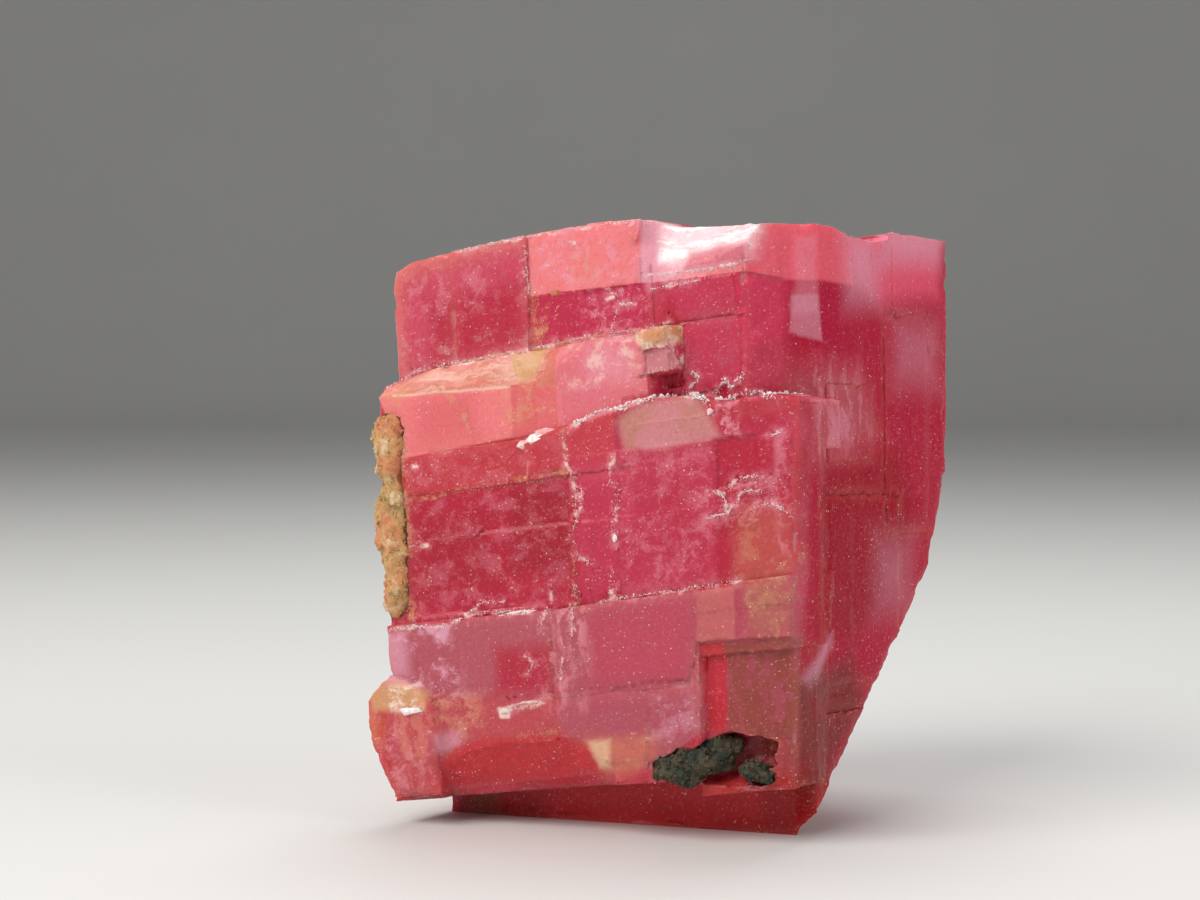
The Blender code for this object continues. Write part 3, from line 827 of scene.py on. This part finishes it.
# %% Panes of the slab between the upper and the middle ledge
paint_all("front", [
    ("-10.3,3.2 -9.3,2.8 -8,2.6 -5.05,2.45 -5.05,3.7 -10.3,3.4", PEACH, 0.06, 0.9),
    ("-10.2,3.2 -8,2.6 -5.4,2.5 -5.4,3.5 -9.9,3.4", IVORY, 0.3, 0.35, "level"),
    ("-9.9,3.33 -6.4,3.5 -6.4,3.62 -9.9,3.42", IVORY, 0.1, 0.6),
    ("-10.3,3.36 -6.4,3.6 -4.95,3.66 -4.84,4.84 -5.9,4.92 -9.69,5.14", SALMON, 0.04, 0.92),
    ("-9.2,3.5 -7.5,3.6 -7.4,4.8 -9.2,4.9", CORAL, 0.9, 0.35),
    ("-6.38,3.5 -5.65,3.5 -5.62,4.88 -6.38,4.94", CORAL, 0.08, 0.45),
    ("-5.65,2.6 -5.1,2.5 -5,4.9 -5.65,4.9", CORAL, 0.1, 0.35),
    ("-6.52,2.7 -5.6,2.5 -5.45,2.65 -5.64,3.3 -6.05,3.49 -6.42,3.02", TAN, 0.14, 0.9),
    ("-7,3.6 -5,3.4 -5,4.4 -6.6,4.7", TAN, 0.5, 0.45, "wispy"),
    ("-5.1,2.4 -2.5,2.4 -2.45,4.5 -3.4,4.45 -4.24,4.8 -5,4.9", shade(226, 120, 132), 0.06, 0.85),
    ("-4.2,2.7 -2.8,2.8 -2.9,3.8 -4.2,3.7", PINK, 0.9, 0.6),
    ("-4.9,2.5 -2.6,2.5 -2.6,3.6 -4.6,3.8", IVORY, 0.6, 0.5, "wispy"),
    ("-2.89,2.5 -1.8,2.45 -1.75,3.02 -2.5,3.04", TAN, 0.06, 0.8),
    ("-2.89,2.5 -1.8,2.45 -1.75,3.02 -2.5,3.04", IVORY, 0.1, 0.7, "wispy"),
    ("-2.48,3.07 -1.75,3.06 -1.75,3.64 -2.44,3.68", FROST, 0.05, 0.8),
    ("-2.3,3.7 -1.77,3.7 -1.85,4.12 -2.32,4.12", CRIMSON, 0.05, 1),
])

# %% Panes below the middle ledge
paint_all("front", [
    ("-9.7,5.15 -6,4.97 -3.3,4.7 -3.2,5.9 -4.5,6.12 -9.7,6.38", CORAL, 0.06, 0.55),
    ("-9.7,6.38 -8.15,6.27 -4.6,6.15 -4.6,9.7 -9.8,9.85", CRIMSON, 0.08, 0.85),
    ("-6.5,6.4 -4.65,6.45 -4.7,8.9 -6.6,8.7", DEEP, 0.7, 0.9),
    ("-9.4,7 -7,7 -7,9 -9.4,9.2", DEEP, 1.2, 0.6),
    ("-9.7,5.2 -4.8,5.2 -4.8,9.6 -9.7,9.7", PINK, 0.8, 0.2, "wispy"),
])
frost = paint("front", "-3.2,4.9 -2.6,4.5 -1,4.4 -0.72,5.1 -0.32,5.65 -2.13,5.82 -3,5.65",
              FROST, 0.34, 0.9)
paint_all("front", [
    ("-3.2,4.7 -0.9,4.4 -0.5,5.7 -2.9,5.7", OLIVE, 0.5, 0.45, "cloudy"),
    ("-4.5,5.7 -0.5,5.85 -0.52,9.6 -4.5,9.75", ROSE, 0.3, 0.55),
    ("-3.2,5.8 -0.5,5.9 -0.6,9.5 -3.1,9.6", PINK, 0.6, 0.32, "wispy"),
    ("-2.6,6.6 -1,6.6 -1,8.6 -2.6,8.8", CRIMSON, 1, 0.55, "cloudy"),
    ("-0.5,4.2 0.1,4.2 0.28,5.72 -0.38,5.68", PINK, 0.2, 0.7, "wispy"),
    ("-0.45,5.72 0.89,5.85 0.87,7.15 -0.46,7.04", CRIMSON, 0.05, 0.85),
    ("0.1,7.6 1.5,7.8 1.6,9.6 0.1,9.6", shade(194, 100, 82), 0.8, 0.5),
    ("0,7.8 1.5,7.8 1.6,9.6 0.1,9.6", TAN, 0.8, 0.25, "wispy"),
    ("-0.8,6.6 1.5,6.7 1.5,8.1 -0.8,8", PINK, 0.8, 0.4, "wispy"),
    ("1.15,5.6 1.6,5.7 1.6,9 1.2,9", PINK, 0.3, 0.4, "upright"),
])

# %% Panes of the lowest face, the recess and the foot
paint_all("front", [
    ("-10.3,10 -5.8,9.9 -1,9.75 -0.95,13.7 -2.4,14.6 -10,14.9", shade(178, 92, 104), 0.08, 0.75),
    ("-10.2,10 -8.4,10 -7.9,12.2 -10.1,12", LILAC, 0.8, 0.7, "wispy"),
    ("-9.1,10 -8.2,10 -8.5,10.55", LILAC, 0.12, 0.7),
    ("-4.2,10 -1.1,9.9 -1.1,12.3 -4,12.6", ROSE, 0.8, 0.5),
    ("-6.9,10.8 -5.2,10.9 -5.2,12.2 -6.9,12.1", CRIMSON, 0.6, 0.85),
    ("-5.7,9.8 -4.1,9.8 -4.2,12.8 -5.4,12.8", PINK, 0.6, 0.6, "upright"),
    ("-4.4,12 -1.2,11.9 -1.1,13.9 -4,13.9", MAUVE, 0.7, 0.7, "cloudy"),
    ("-2.4,12.4 -1.25,12.45 -1.1,13.5 -1.6,13.9 -2.5,13.8", LILAC, 0.4, 0.4, "wispy"),
    ("-9.2,12 -5,12.3 -5.1,13.5 -7.5,13.5 -9,13.3", CORAL, 0.5, 0.5),
    ("-9.2,11.9 -7.4,12.1 -7.4,13.4 -9,13.5", shade(216, 148, 118), 0.5, 0.6, "wispy"),
    ("-8.9,13.1 -8.1,13.1 -8.1,13.6 -8.8,13.7", LILAC, 0.3, 0.5),
    ("-6.9,12.53 -5.61,12.4 -5.46,12.5 -6.5,12.85 -6.85,12.82", IVORY, 0.12, 0.7, "wispy"),
    ("-6.9,12.53 -6.5,12.5 -6.54,12.85 -6.85,12.82", IVORY, 0.08, 0.8),
    ("-4.2,13.6 -2.3,13.7 -2.3,14.4 -3,14.8 -4,14.7", shade(208, 118, 92), 0.6, 0.7),
    ("-4,13.7 -2.5,13.8 -3,14.8 -4,14.7", TAN, 0.6, 0.5, "wispy"),
    ("-10.3,3.3 -9.6,3.3 -9.5,10 -10.2,10", TAN, 0.5, 0.8, "wispy"),
    ("-1.01,9.78 1.7,9.6 1.56,11.36 0.29,11.22 -1,11.18", MAUVE, 0.04, 0.7),
    ("-1,9.78 0.06,9.7 0.06,11.22 -1,11.18", PEACH, 0.1, 0.35),
    ("0.1,9.3 1.7,9 1.56,11.3 0.3,11.2", shade(206, 140, 110), 0.5, 0.7, "wispy"),
    ("0.3,9.6 1.5,9.4 1.5,11.2 0.5,11.1", shade(176, 112, 84), 0.6, 0.5),
    ("-1,11.22 -0.33,11.22 -0.45,13.8 -0.95,13.75", SCARLET, 0.08, 0.7),
    ("-0.6,14 2,14 2,15.6 -0.6,15.6", shade(150, 50, 54), 0.5, 0.75),
    ("1.3,11.4 2,11.4 2,14.6 1.2,14.6", BROWN, 0.4, 0.7),
    ("-0.33,11.24 1.6,11.3 1.4,14.1 -0.4,13.8", BROWN, 0.2, 0.85),
    ("-0.33,11.24 1.6,11.3 1.4,14.1 -0.4,13.8", MAUVE, 0.2, 0.6, "upright"),
    ("-8.75,13.95 -8.3,13.6 -7.5,13.4 -5.04,13.42 -4,13.9 -4,14.7 -8.8,14.8",
     shade(198, 40, 48), 0.35, 0.9),
    ("-4.25,13.7 -3.55,13.7 -3.62,14.5 -4,14.5", shade(228, 188, 152), 0.24, 0.8),
])

# %% The knob on the left, and the foot
paint_all("front", [
    ("-10.8,12.2 -8.8,12.2 -8.75,15 -10.2,15", CORAL, 0.3, 0.6),
    ("-10.8,12.2 -8.9,12.2 -8.75,14.8 -10.2,14.8", PINK, 0.4, 0.45, "wispy"),
    ("-10.8,12.2 -8.9,12.2 -8.75,14.8 -10.2,14.8", PEACH, 0.4, 0.5, "upright"),
    ("-10.7,11.7 -9.9,11.4 -8.95,11.9 -8.95,12.4 -10.6,12.3", TAN, 0.25, 0.85),
    ("-10.4,11.7 -9.3,11.6 -9,12.4 -10,12.4", IVORY, 0.3, 0.8, "wispy"),
    ("-10.9,12.4 -10.25,12.45 -10.3,13.4 -10.8,13.4", shade(206, 112, 72), 0.6, 0.6),
    ("-10.3,10.1 -9.7,10.1 -9.6,11.5 -10.3,11.5", LILAC, 0.5, 0.6),
])
# Painted shade: the foot, set back under the overhanging slab, is painted in darker reds.
paint_all("foot", [
    ("-9,15.1 4,15.1 4,19 -9,19", SHADED_WINE, 0.3, 0.95),
    ("-7,15.2 -0.5,15.2 -0.5,16.6 -7,16.5", SCARLET, 0.6, 0.95),
    ("-9.6,14.9 -8.4,14.9 -8.4,19 -9.6,19", BROWN, 0.7, 0.8),
])

# %% Panes of the right face
paint_all("right", [
    ("-1.2,1.6 9.6,1.6 9.6,12.5 -1.2,12.5", CRIMSON, 1.2, 0.85),
    # Painted glow: the salmon upper band goes on along the top of the right face.
    ("1,-0.6 3.6,-0.6 3.9,1.55 1,1.52", shade(240, 98, 116), 0.12, 0.85),
    ("1.9,1.6 3.8,1.65 3.7,3.6 1.9,3.6", shade(180, 8, 58), 0.5, 0.85),
    ("3.5,0.1 8.9,-0.3 8.9,1.6 5.4,1.9 3.7,1.3", shade(240, 92, 120), 0.9, 0.8),
    ("3.4,-0.1 5.3,-0.1 5.2,1.9 3.6,2", LILAC, 1.6, 0.55),
    ("5.7,-0.8 9.6,-0.8 8.9,0.6 5.5,0.8", LILAC, 1.2, 0.6),
    ("-0.2,3.8 4,3.9 5.2,5.6 3,6.4 -0.2,6.5", FROST, 1.4, 0.3),
    ("-0.2,3.8 4,3.9 4.6,5.6 3,6.4 -0.2,6.5", PINK, 1.4, 0.45, "upright"),
    ("6.2,2.4 8.8,2.4 8.8,4.2 6.2,4.2", LILAC, 1.8, 0.3),
    ("0.2,6.9 6.4,6.2 7.4,8.2 6.3,10.5 3.4,11.5 0.2,11.4", DEEP, 1.2, 0.9),
    ("5,8.8 7.1,8.8 7,10.8 5,10.8", LILAC, 1.9, 0.3),
    ("-0.3,12.5 0.2,12.2 2.4,11.4 2.4,11.7 0.3,12.8", LILAC, 0.5, 0.6),
    # Painted shade: the lower right of the right face is painted darker.
    ("-0.6,12.6 3.4,12.1 4.4,13.4 1,16 -0.6,16.5", shade(122, 38, 34), 1.2, 0.85),
    ("-0.6,12.9 2.4,13.2 2.7,15 -0.6,15.4", SHADED_WINE, 0.9, 0.4, "cloudy"),
    ("1.38,0.35 1.97,0.35 2,2.4 1.3,2.4", PINK, 0.3, 0.35),
    ("1.3,1.9 2,1.9 2.16,3.18 1.48,3.01 1.14,2.88", LILAC, 0.12, 0.42),
])


# %% Grain, painted glow along thin edges, bruises, smears beside the seams, and dust
stone.coat(stone.rise(grainy, 0.50, 0.34, 0.15), DEEP)
stone.coat(stone.rise(grainy, 0.54, 0.70, 0.26), FROST)
# Painted glow: a peach tint near the edges, where light comes through thin stone.
stone.coat(stone.rise(stone.number("near_edge"), 0.6, 1.0, 0.10), PEACH)
pale = stone.layer(stone.rise(cloudy, 0.45, 0.6), LILAC, TAN)
bruised = stone.number("bruise")
stone.coat(stone.rise(bruised, 0.45, 1.1, 0.45), pale)
broken = stone.rise(stone.clouds(lattice_place, 3.2, detail=4, rough=0.7), 0.44, 0.60)


def smear(name, reach, colour, strength, ragged):
    """Pales the stone beside the paths of a seam, in patches out to a ragged border."""
    waver = stone.sum("MULTIPLY", stone.sum("SUBTRACT", wispy, 0.46), ragged)
    gap = stone.sum("ADD", stone.number(name), waver)
    stone.coat(stone.sum("MULTIPLY", stone.rise(gap, reach, 0.0, strength), broken), colour)


smear("white_seam", 0.28, PINK, 0.5, 0.9)
smear("tan_seam", 0.14, TAN, 0.7, 1.1)
smear("white_seam", 0.07, IVORY, 0.85, 0.4)
speck = stone.rise(stone.clouds(lattice_place, 13.0, detail=2, rough=0.6), 0.63, 0.72, 0.6)
stone.coat(stone.sum("MULTIPLY", speck, stone.rise(wispy, 0.42, 0.6)), IVORY)
print("nodes for the stone's colour:", len(stone.tree.nodes))

# %% Gloss, fine relief and the light inside the stone
ripple = stone.clouds(stone.vector("MULTIPLY", lattice_place, (3.2, 0.5, 3.2)), 1.0, detail=4, rough=0.6)
relief = stone.bump(grainy, 0.012, stone.bump(ripple, 0.02))
dullness = stone.sum("ADD", stone.rise(wispy, 0.35, 0.65, 0.25), 0.26)
dullness = stone.sum("ADD", dullness, stone.sum("MULTIPLY", frost, 0.2))
dullness = stone.sum("ADD", dullness, stone.rise(bruised, 0.2, 0.8, 0.2))
sheen = stone.sum("SUBTRACT", 0.28, stone.sum("MULTIPLY", shown_on["right"], 0.2))
stone.set(Roughness=dullness, Normal=relief, IOR=1.6, Specular_IOR_Level=sheen,
          Subsurface_Weight=0.35, Subsurface_Radius=(1.0, 0.28, 0.24), Subsurface_Scale=0.4 * MM)
crystal.data.materials.clear()
crystal.data.materials.append(stone.material)
print("nodes in the stone's finish:", len(stone.tree.nodes))

# %% [markdown]
# ## Broken stone along the seams
# Where the stone has cracked or a sheet has broken off, a thin seam of crushed
# carbonate stays behind. It is white because it is full of air; on some seams a
# whiter finish also paints the glints that they catch. Each seam follows
# a short path over the surface, so one Geometry Nodes tree can make them all: it
# sweeps a ragged thread along the path, lets it pinch out here and there, and
# scatters small cleavage flakes beside it.

# %% A Geometry Nodes tree with named inputs
SOCKETS = {float: "NodeSocketFloat", int: "NodeSocketInt", "finish": "NodeSocketMaterial"}
FULL_TURN = 6.28


class Growth(Tree):
    """A tree that grows a piece from a starting mesh, and the inputs it takes."""

    def __init__(self, name, **inputs):
        self.tree = bpy.data.node_groups.new(name, "GeometryNodeTree")
        self.socket("Geometry", "INPUT", "NodeSocketGeometry")
        for label, kind in inputs.items():
            self.socket(label, "INPUT", SOCKETS[kind])
        self.socket("Geometry", "OUTPUT", "NodeSocketGeometry")
        self.given = self.tree.nodes.new("NodeGroupInput").outputs

    def socket(self, label, side, kind):
        self.tree.interface.new_socket(label, in_out=side, socket_type=kind)

    def step(self, kind, feeds, **settings):
        """The first output of a Geometry Nodes node."""
        return self.node("GeometryNode" + kind, feeds, **settings).outputs[0]

    def random(self, low, high, seed):
        feeds = {"Min": low, "Max": high, "Seed": seed}
        return self.node("FunctionNodeRandomValue", feeds, data_type="FLOAT_VECTOR").outputs["Value"]

    def swarm(self, points, size, seed, shape):
        """Small cleavage blocks on the points, each turned and sized its own way."""
        turn = self.random((0, 0, 0), (FULL_TURN, FULL_TURN, FULL_TURN), seed)
        sizes = self.vector("SCALE", self.random(shape, (1, 1, 1), seed), scale=size)
        block = self.step("MeshCube", {"Size": (1, 1, 1)})
        feeds = {"Points": points, "Instance": block, "Scale": sizes, "Rotation": turn}
        return self.step("InstanceOnPoints", feeds)

    def ends_in(self, geometry):
        solid = self.step("RealizeInstances", {"Geometry": geometry})
        solid = self.step("SetMaterial", {"Geometry": solid, "Material": self.given["finish"]})
        self.node("NodeGroupOutput", {0: solid})


def grown(growth, start, name, **values):
    """The plain mesh object that a tree grows from a starting mesh, which is then removed."""
    modifier = start.modifiers.new("growth", "NODES")
    modifier.node_group = growth.tree
    for item in growth.tree.interface.items_tree:
        if item.in_out == "INPUT" and item.name in values:
            modifier[item.identifier] = values[item.name]
    evaluated = start.evaluated_get(bpy.context.evaluated_depsgraph_get())
    mesh = bpy.data.meshes.new_from_object(evaluated)
    mesh.name = name
    bpy.data.objects.remove(start)
    return shown(name, mesh)


# %% The tree of a seam: a ragged thread along the line, and flakes beside it
PER_MM = 1000.0
PINCHED = 0.44
FULL = 0.70
seam = Growth("seam", spacing=float, crumbs=float, width=float, ragged=float, flake=float, spread=float,
              seed=int, finish="finish")
given = seam.given
line = seam.step("MeshToCurve", {"Mesh": given["Geometry"]})
line = seam.step("ResampleCurve", {"Curve": line, "Length": given["spacing"]}, mode="LENGTH")
here = seam.step("InputPosition", {})
wander = seam.clouds(here, 3.0 * PER_MM, colour=True)
wander = seam.vector("SUBTRACT", wander, (0.5, 0.5, 0.5))
ragged = seam.vector("SCALE", wander, scale=given["ragged"])
line = seam.step("SetPosition", {"Geometry": line, "Offset": ragged})

swell = seam.clouds(here, 2.0 * PER_MM, detail=5.0, rough=0.85)
feeds = {"Value": swell, "From Min": PINCHED, "From Max": FULL}
swell = seam.node("ShaderNodeMapRange", feeds).outputs["Result"]
ring = seam.step("CurvePrimitiveCircle", {"Resolution": 5, "Radius": given["width"]}, mode="RADIUS")
feeds = {"Curve": line, "Profile Curve": ring, "Scale": swell, "Fill Caps": True}
thread = seam.step("CurveToMesh", feeds)
knobbly = seam.vector("SCALE", wander, scale=given["width"])
thread = seam.step("SetPosition", {"Geometry": thread, "Offset": knobbly})

crumbs = seam.step("CurveToPoints", {"Curve": line, "Length": given["crumbs"]}, mode="LENGTH")
strewn = seam.random((-1, -1, -1), (1, 1, 1), given["seed"])
strewn = seam.vector("SCALE", strewn, scale=given["spread"])
crumbs = seam.step("SetPosition", {"Geometry": crumbs, "Offset": strewn})
flakes = seam.swarm(crumbs, given["flake"], given["seed"], (0.15, 0.1, 0.1))
both = seam.node("GeometryNodeJoinGeometry", {"Geometry": thread})
seam.feed(both.inputs["Geometry"], flakes)
seam.ends_in(both.outputs["Geometry"])
print("nodes in the seam tree:", len(seam.tree.nodes))

# %% Paths that lie on the stone
FAR = 9.0
PATH_STEP = 0.12
SINK = 0.01
TRIES = 8
TRY_STEP = 0.06


def on_front(along, down):
    """The place on the front of the crystal under a point seen from straight before it."""
    for lower in range(TRIES):
        origin = site(along, down + lower * TRY_STEP, -FAR)
        hit = crystal_surface.ray_cast(origin, LATTICE @ Vector((0, 0, 1)), 4 * FAR * MM)
        if hit[0] is not None:
            return hit[0]
    raise ValueError(f"nothing at {along}, {down}")


def chains(name, paths):
    """Several paths over the front as one mesh of loose edges."""
    sunk = LATTICE @ Vector((0, 0, SINK * MM))
    points, edges = [], []
    for text in paths:
        chain = [on_front(*spot) + sunk for spot in walked(spots(text), PATH_STEP)]
        edges += [(len(points) + i, len(points) + i + 1) for i in range(len(chain) - 1)]
        points += chain
    return from_lists(name, points, edges, [])


# %% Finishes of crushed stone: white, stained tan, and a whiter one that also paints glints
def crushed(name, pale, second, stained, share):
    """Crushed carbonate, chalky and slightly see-through, stained in patches."""
    finish = Finish(name)
    patches = finish.clouds(finish.place, 1.3, detail=5, rough=0.65)
    specks = finish.clouds(finish.place, 9.0, detail=2)
    finish.tone = finish.layer(finish.rise(patches, share, share + 0.1), pale, stained)
    finish.coat(finish.rise(specks, 0.42, 0.6, 0.75), second)
    relief = finish.bump(finish.clouds(finish.place, 14.0), 0.01)
    finish.set(Roughness=finish.rise(specks, 0.3, 0.7, 0.6), Normal=relief,
               Subsurface_Weight=0.5, Subsurface_Radius=(1.0, 0.6, 0.5), Subsurface_Scale=0.12 * MM)
    return finish.material


white_stone = crushed("crushed_white", shade(244, 216, 204), PINK, TAN, 0.52)
tan_stone = crushed("crushed_tan", shade(214, 160, 120), CORAL, shade(172, 124, 70), 0.5)
# Whiter than crushed stone alone: where it is used, it also paints the glints that seams and chips
# catch.
crushed_glint_stone = crushed("crushed_glint", WHITE, shade(240, 206, 206), PINK, 0.6)
print("finishes:", white_stone.name, tan_stone.name, crushed_glint_stone.name)

# %% Each group of seams: width, raggedness, flake size and spread in mm, and finish
# Seams in the whiter finish also paint the glints along them.
LOOKS = {
    "upper_ledge_seam": (0.03, 0.12, 0.06, 0.07, white_stone),
    "middle_ledge_seam": (0.055, 0.14, 0.075, 0.07, crushed_glint_stone),
    "lower_ledge_seam": (0.028, 0.12, 0.06, 0.05, crushed_glint_stone),
    "upper_band_seam": (0.03, 0.10, 0.05, 0.04, crushed_glint_stone),
    "top_edge_seam": (0.022, 0.06, 0.05, 0.03, white_stone),
    "upright_cracks": (0.016, 0.2, 0.05, 0.09, white_stone),
    "lower_streaks": (0.016, 0.16, 0.05, 0.10, white_stone),
    "right_crackle": (0.028, 0.16, 0.05, 0.05, crushed_glint_stone),
    "window_rims": (0.014, 0.06, 0.04, 0.02, white_stone),
    "small_bruises": (0.018, 0.08, 0.05, 0.03, white_stone),
    "tan_veins": (0.011, 0.22, 0.05, 0.14, tan_stone),
}
SPACING = 0.05
CRUMBS = 0.025

for number, (name, paths) in enumerate({**WHITE_PATHS, **TAN_PATHS}.items()):
    width, ragged, flake, spread, finish = LOOKS[name]
    piece = grown(seam, chains(name, paths), name, spacing=SPACING * MM, crumbs=CRUMBS * MM,
                  width=width * MM, ragged=ragged * MM, flake=flake * MM, spread=spread * MM,
                  seed=number, finish=finish)
    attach(piece, "root")
    print(name, len(piece.data.polygons), "faces")

# %% [markdown]
# ## Chips that stand on the face
# A few splinters are larger than the flakes of a seam: they are broken, frosty
# bits that still hang on, and the whitest of them also paint the glints that the
# face catches there. A splinter is the tight wrap of a few random points, a
# shape with a dozen flat facets, pressed halfway into the face.

# %% Splinters
def splinter(name, at, size, seed, finish, points=16):
    """A faceted chip, size (along, down, out) in mm, half sunk in the front."""
    dice = random.Random(seed)
    form = bmesh.new()
    centre = on_front(*at)
    for _ in range(points):
        spot = Vector((dice.gauss(0, 1), dice.gauss(0, 1), dice.gauss(0, 1))).normalized()
        spot *= dice.uniform(0.75, 1.0)
        spot = Vector((spot.x * size[0], spot.y * size[1], spot.z * size[2]))
        form.verts.new(centre + LATTICE @ spot * MM / 2)
    bmesh.ops.convex_hull(form, input=form.verts)
    bmesh.ops.delete(form, geom=[v for v in form.verts if not v.link_faces], context="VERTS")
    bmesh.ops.recalc_face_normals(form, faces=form.faces)
    chip = from_form(name, form)
    chip.data.materials.append(finish)
    return chip


# Chips in the whiter finish also paint glints: most of all the sliver on the lower ledge and the chip on
# the knob.
CHIPS = [
    ("ledge_chip", (-5.36, 4.98), (0.75, 0.5, 0.5), 3, white_stone),
    ("ledge_chip_middle", (-5.62, 5.06), (0.7, 0.42, 0.46), 5, crushed_glint_stone),
    ("ledge_chip_point", (-5.95, 5.2), (0.55, 0.3, 0.26), 15, white_stone),
    ("knob_glint_chip", (-9.4, 12.4), (0.85, 0.3, 0.25), 7, crushed_glint_stone),
    ("crossbar_chip", (-6.7, 12.64), (0.4, 0.3, 0.08), 8, white_stone),
    ("crossbar_end", (-5.9, 12.44), (0.8, 0.12, 0.1), 14, white_stone),
    ("band_spot_low", (-5.3, 1.1), (0.38, 0.26, 0.07), 10, tan_stone),
    ("glint_sliver", (-6.2, 9.86), (1.1, 0.14, 0.14), 11, crushed_glint_stone),
    ("seam_blob", (-3.36, 8.05), (0.18, 0.3, 0.1), 12, crushed_glint_stone),
    ("rim_blob", (-0.6, 4.95), (0.26, 0.26, 0.14), 13, white_stone),
]
for name, at, size, seed, finish in CHIPS:
    chip = splinter(name, at, size, seed, finish)
    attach(chip, "root")
print("splinters:", len(CHIPS))

# %% [markdown]
# ## Dust
# Handling leaves crushed grains all over a soft stone. They are too small to
# model one by one, so a second tree scatters little blocks over the skin.

# %% The tree of a scatter, and the dust on the crystal
scatter = Growth("scatter", density=float, grain=float, seed=int, finish="finish")
given = scatter.given
feeds = {"Mesh": given["Geometry"], "Density": given["density"], "Seed": given["seed"]}
dots = scatter.step("DistributePointsOnFaces", feeds)
scatter.ends_in(scatter.swarm(dots, given["grain"], given["seed"], (0.3, 0.3, 0.3)))

PER_SQUARE_MM = 1e6
dust_start = shown("dust_start", crystal.data.copy())
dust = grown(scatter, dust_start, "stone_dust", density=2.4 * PER_SQUARE_MM, grain=0.034 * MM, seed=21,
             finish=white_stone)
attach(dust, "root")
print("dust grains:", len(dust.data.polygons) // 6)

# %% [markdown]
# ## The tan crust and the dark ore
# The crust is a late skin of iron-stained carbonate: lumpy, grainy, orange where
# it is thick. The ore grains are black-green and granular, and catch small
# glints. Both are copies of the frame's solids, cut fine and made lumpy by noise,
# with a scatter of their own grains over them.

# %% A lumpy copy of a small piece
def lumpy(node, name, longest, lumps, fineness):
    form = cut_fine(welded(node), lambda _: longest * MM)
    form.normal_update()
    for vertex in form.verts:
        spot = vertex.co / MM
        swell = lumps * noise.fractal(spot * fineness, 0.8, 2.0, 4)
        vertex.co += vertex.normal * swell * MM
    piece = from_form(name, form)
    piece.data.shade_smooth()
    return piece


def coated(piece, node, finish, density, grain, seed):
    """The piece takes its place and finish, and gets grains of its own."""
    piece.data.materials.append(finish)
    start = shown(piece.name + "_start", piece.data.copy())
    grains = grown(scatter, start, piece.name + "_grains", density=density * PER_SQUARE_MM,
                   grain=grain * MM, seed=seed, finish=finish)
    for made in (piece, grains):
        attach(made, "root")
    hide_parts(node)
    print(piece.name, len(piece.data.polygons), "faces,", len(grains.data.polygons) // 6, "grains")


# %% Finish of the crust
crust = Finish("tan_crust")
patches = crust.clouds(crust.place, 0.9, detail=6, rough=0.7)
second = crust.clouds(crust.vector("ADD", crust.place, (9.0, 4.0, 2.0)), 1.6, detail=6, rough=0.7)
speckle = crust.clouds(crust.place, 9.0, detail=4, rough=0.7)
crust.tone = crust.layer(crust.rise(patches, 0.42, 0.52), shade(210, 142, 92), shade(206, 162, 106))
crust.coat(crust.rise(patches, 0.54, 0.62, 0.8), shade(166, 136, 74))
crust.coat(crust.rise(second, 0.52, 0.62, 0.85), shade(228, 196, 156))
crust.coat(crust.rise(second, 0.46, 0.36, 0.7), shade(206, 116, 88))
crust.coat(crust.rise(speckle, 0.5, 0.68, 0.6), shade(140, 96, 60))
crust.set(Roughness=crust.rise(speckle, 0.2, 0.8, 0.8), Normal=crust.bump(speckle, 0.04),
          Subsurface_Weight=0.3, Subsurface_Radius=(1.0, 0.5, 0.3), Subsurface_Scale=0.2 * MM)
coated(lumpy("tan_crust", "crust_skin", 0.11, 0.12, 2.2), "tan_crust", crust.material,
       22, 0.11, 31)

# %% Finish of the ore
ore = Finish("dark_ore")
patches = ore.clouds(ore.place, 2.4, detail=4)
speckle = ore.clouds(ore.place, 9.0, detail=3)
ore.tone = ore.layer(ore.rise(patches, 0.4, 0.65), shade(40, 48, 36), shade(74, 66, 46))
ore.coat(ore.rise(speckle, 0.56, 0.68, 0.7), shade(112, 84, 62))
ore.set(Roughness=ore.sum("ADD", speckle, 0.25), Normal=ore.bump(speckle, 0.04))
for node, name, longest, lumps, fineness, grain, seed in (
        ("dark_grain_large", "ore_large", 0.10, 0.10, 2.8, 0.15, 41),
        ("dark_grain_small", "ore_small", 0.08, 0.07, 3.2, 0.13, 43)):
    coated(lumpy(node, name, longest, lumps, fineness), node, ore.material, 45, grain, seed)
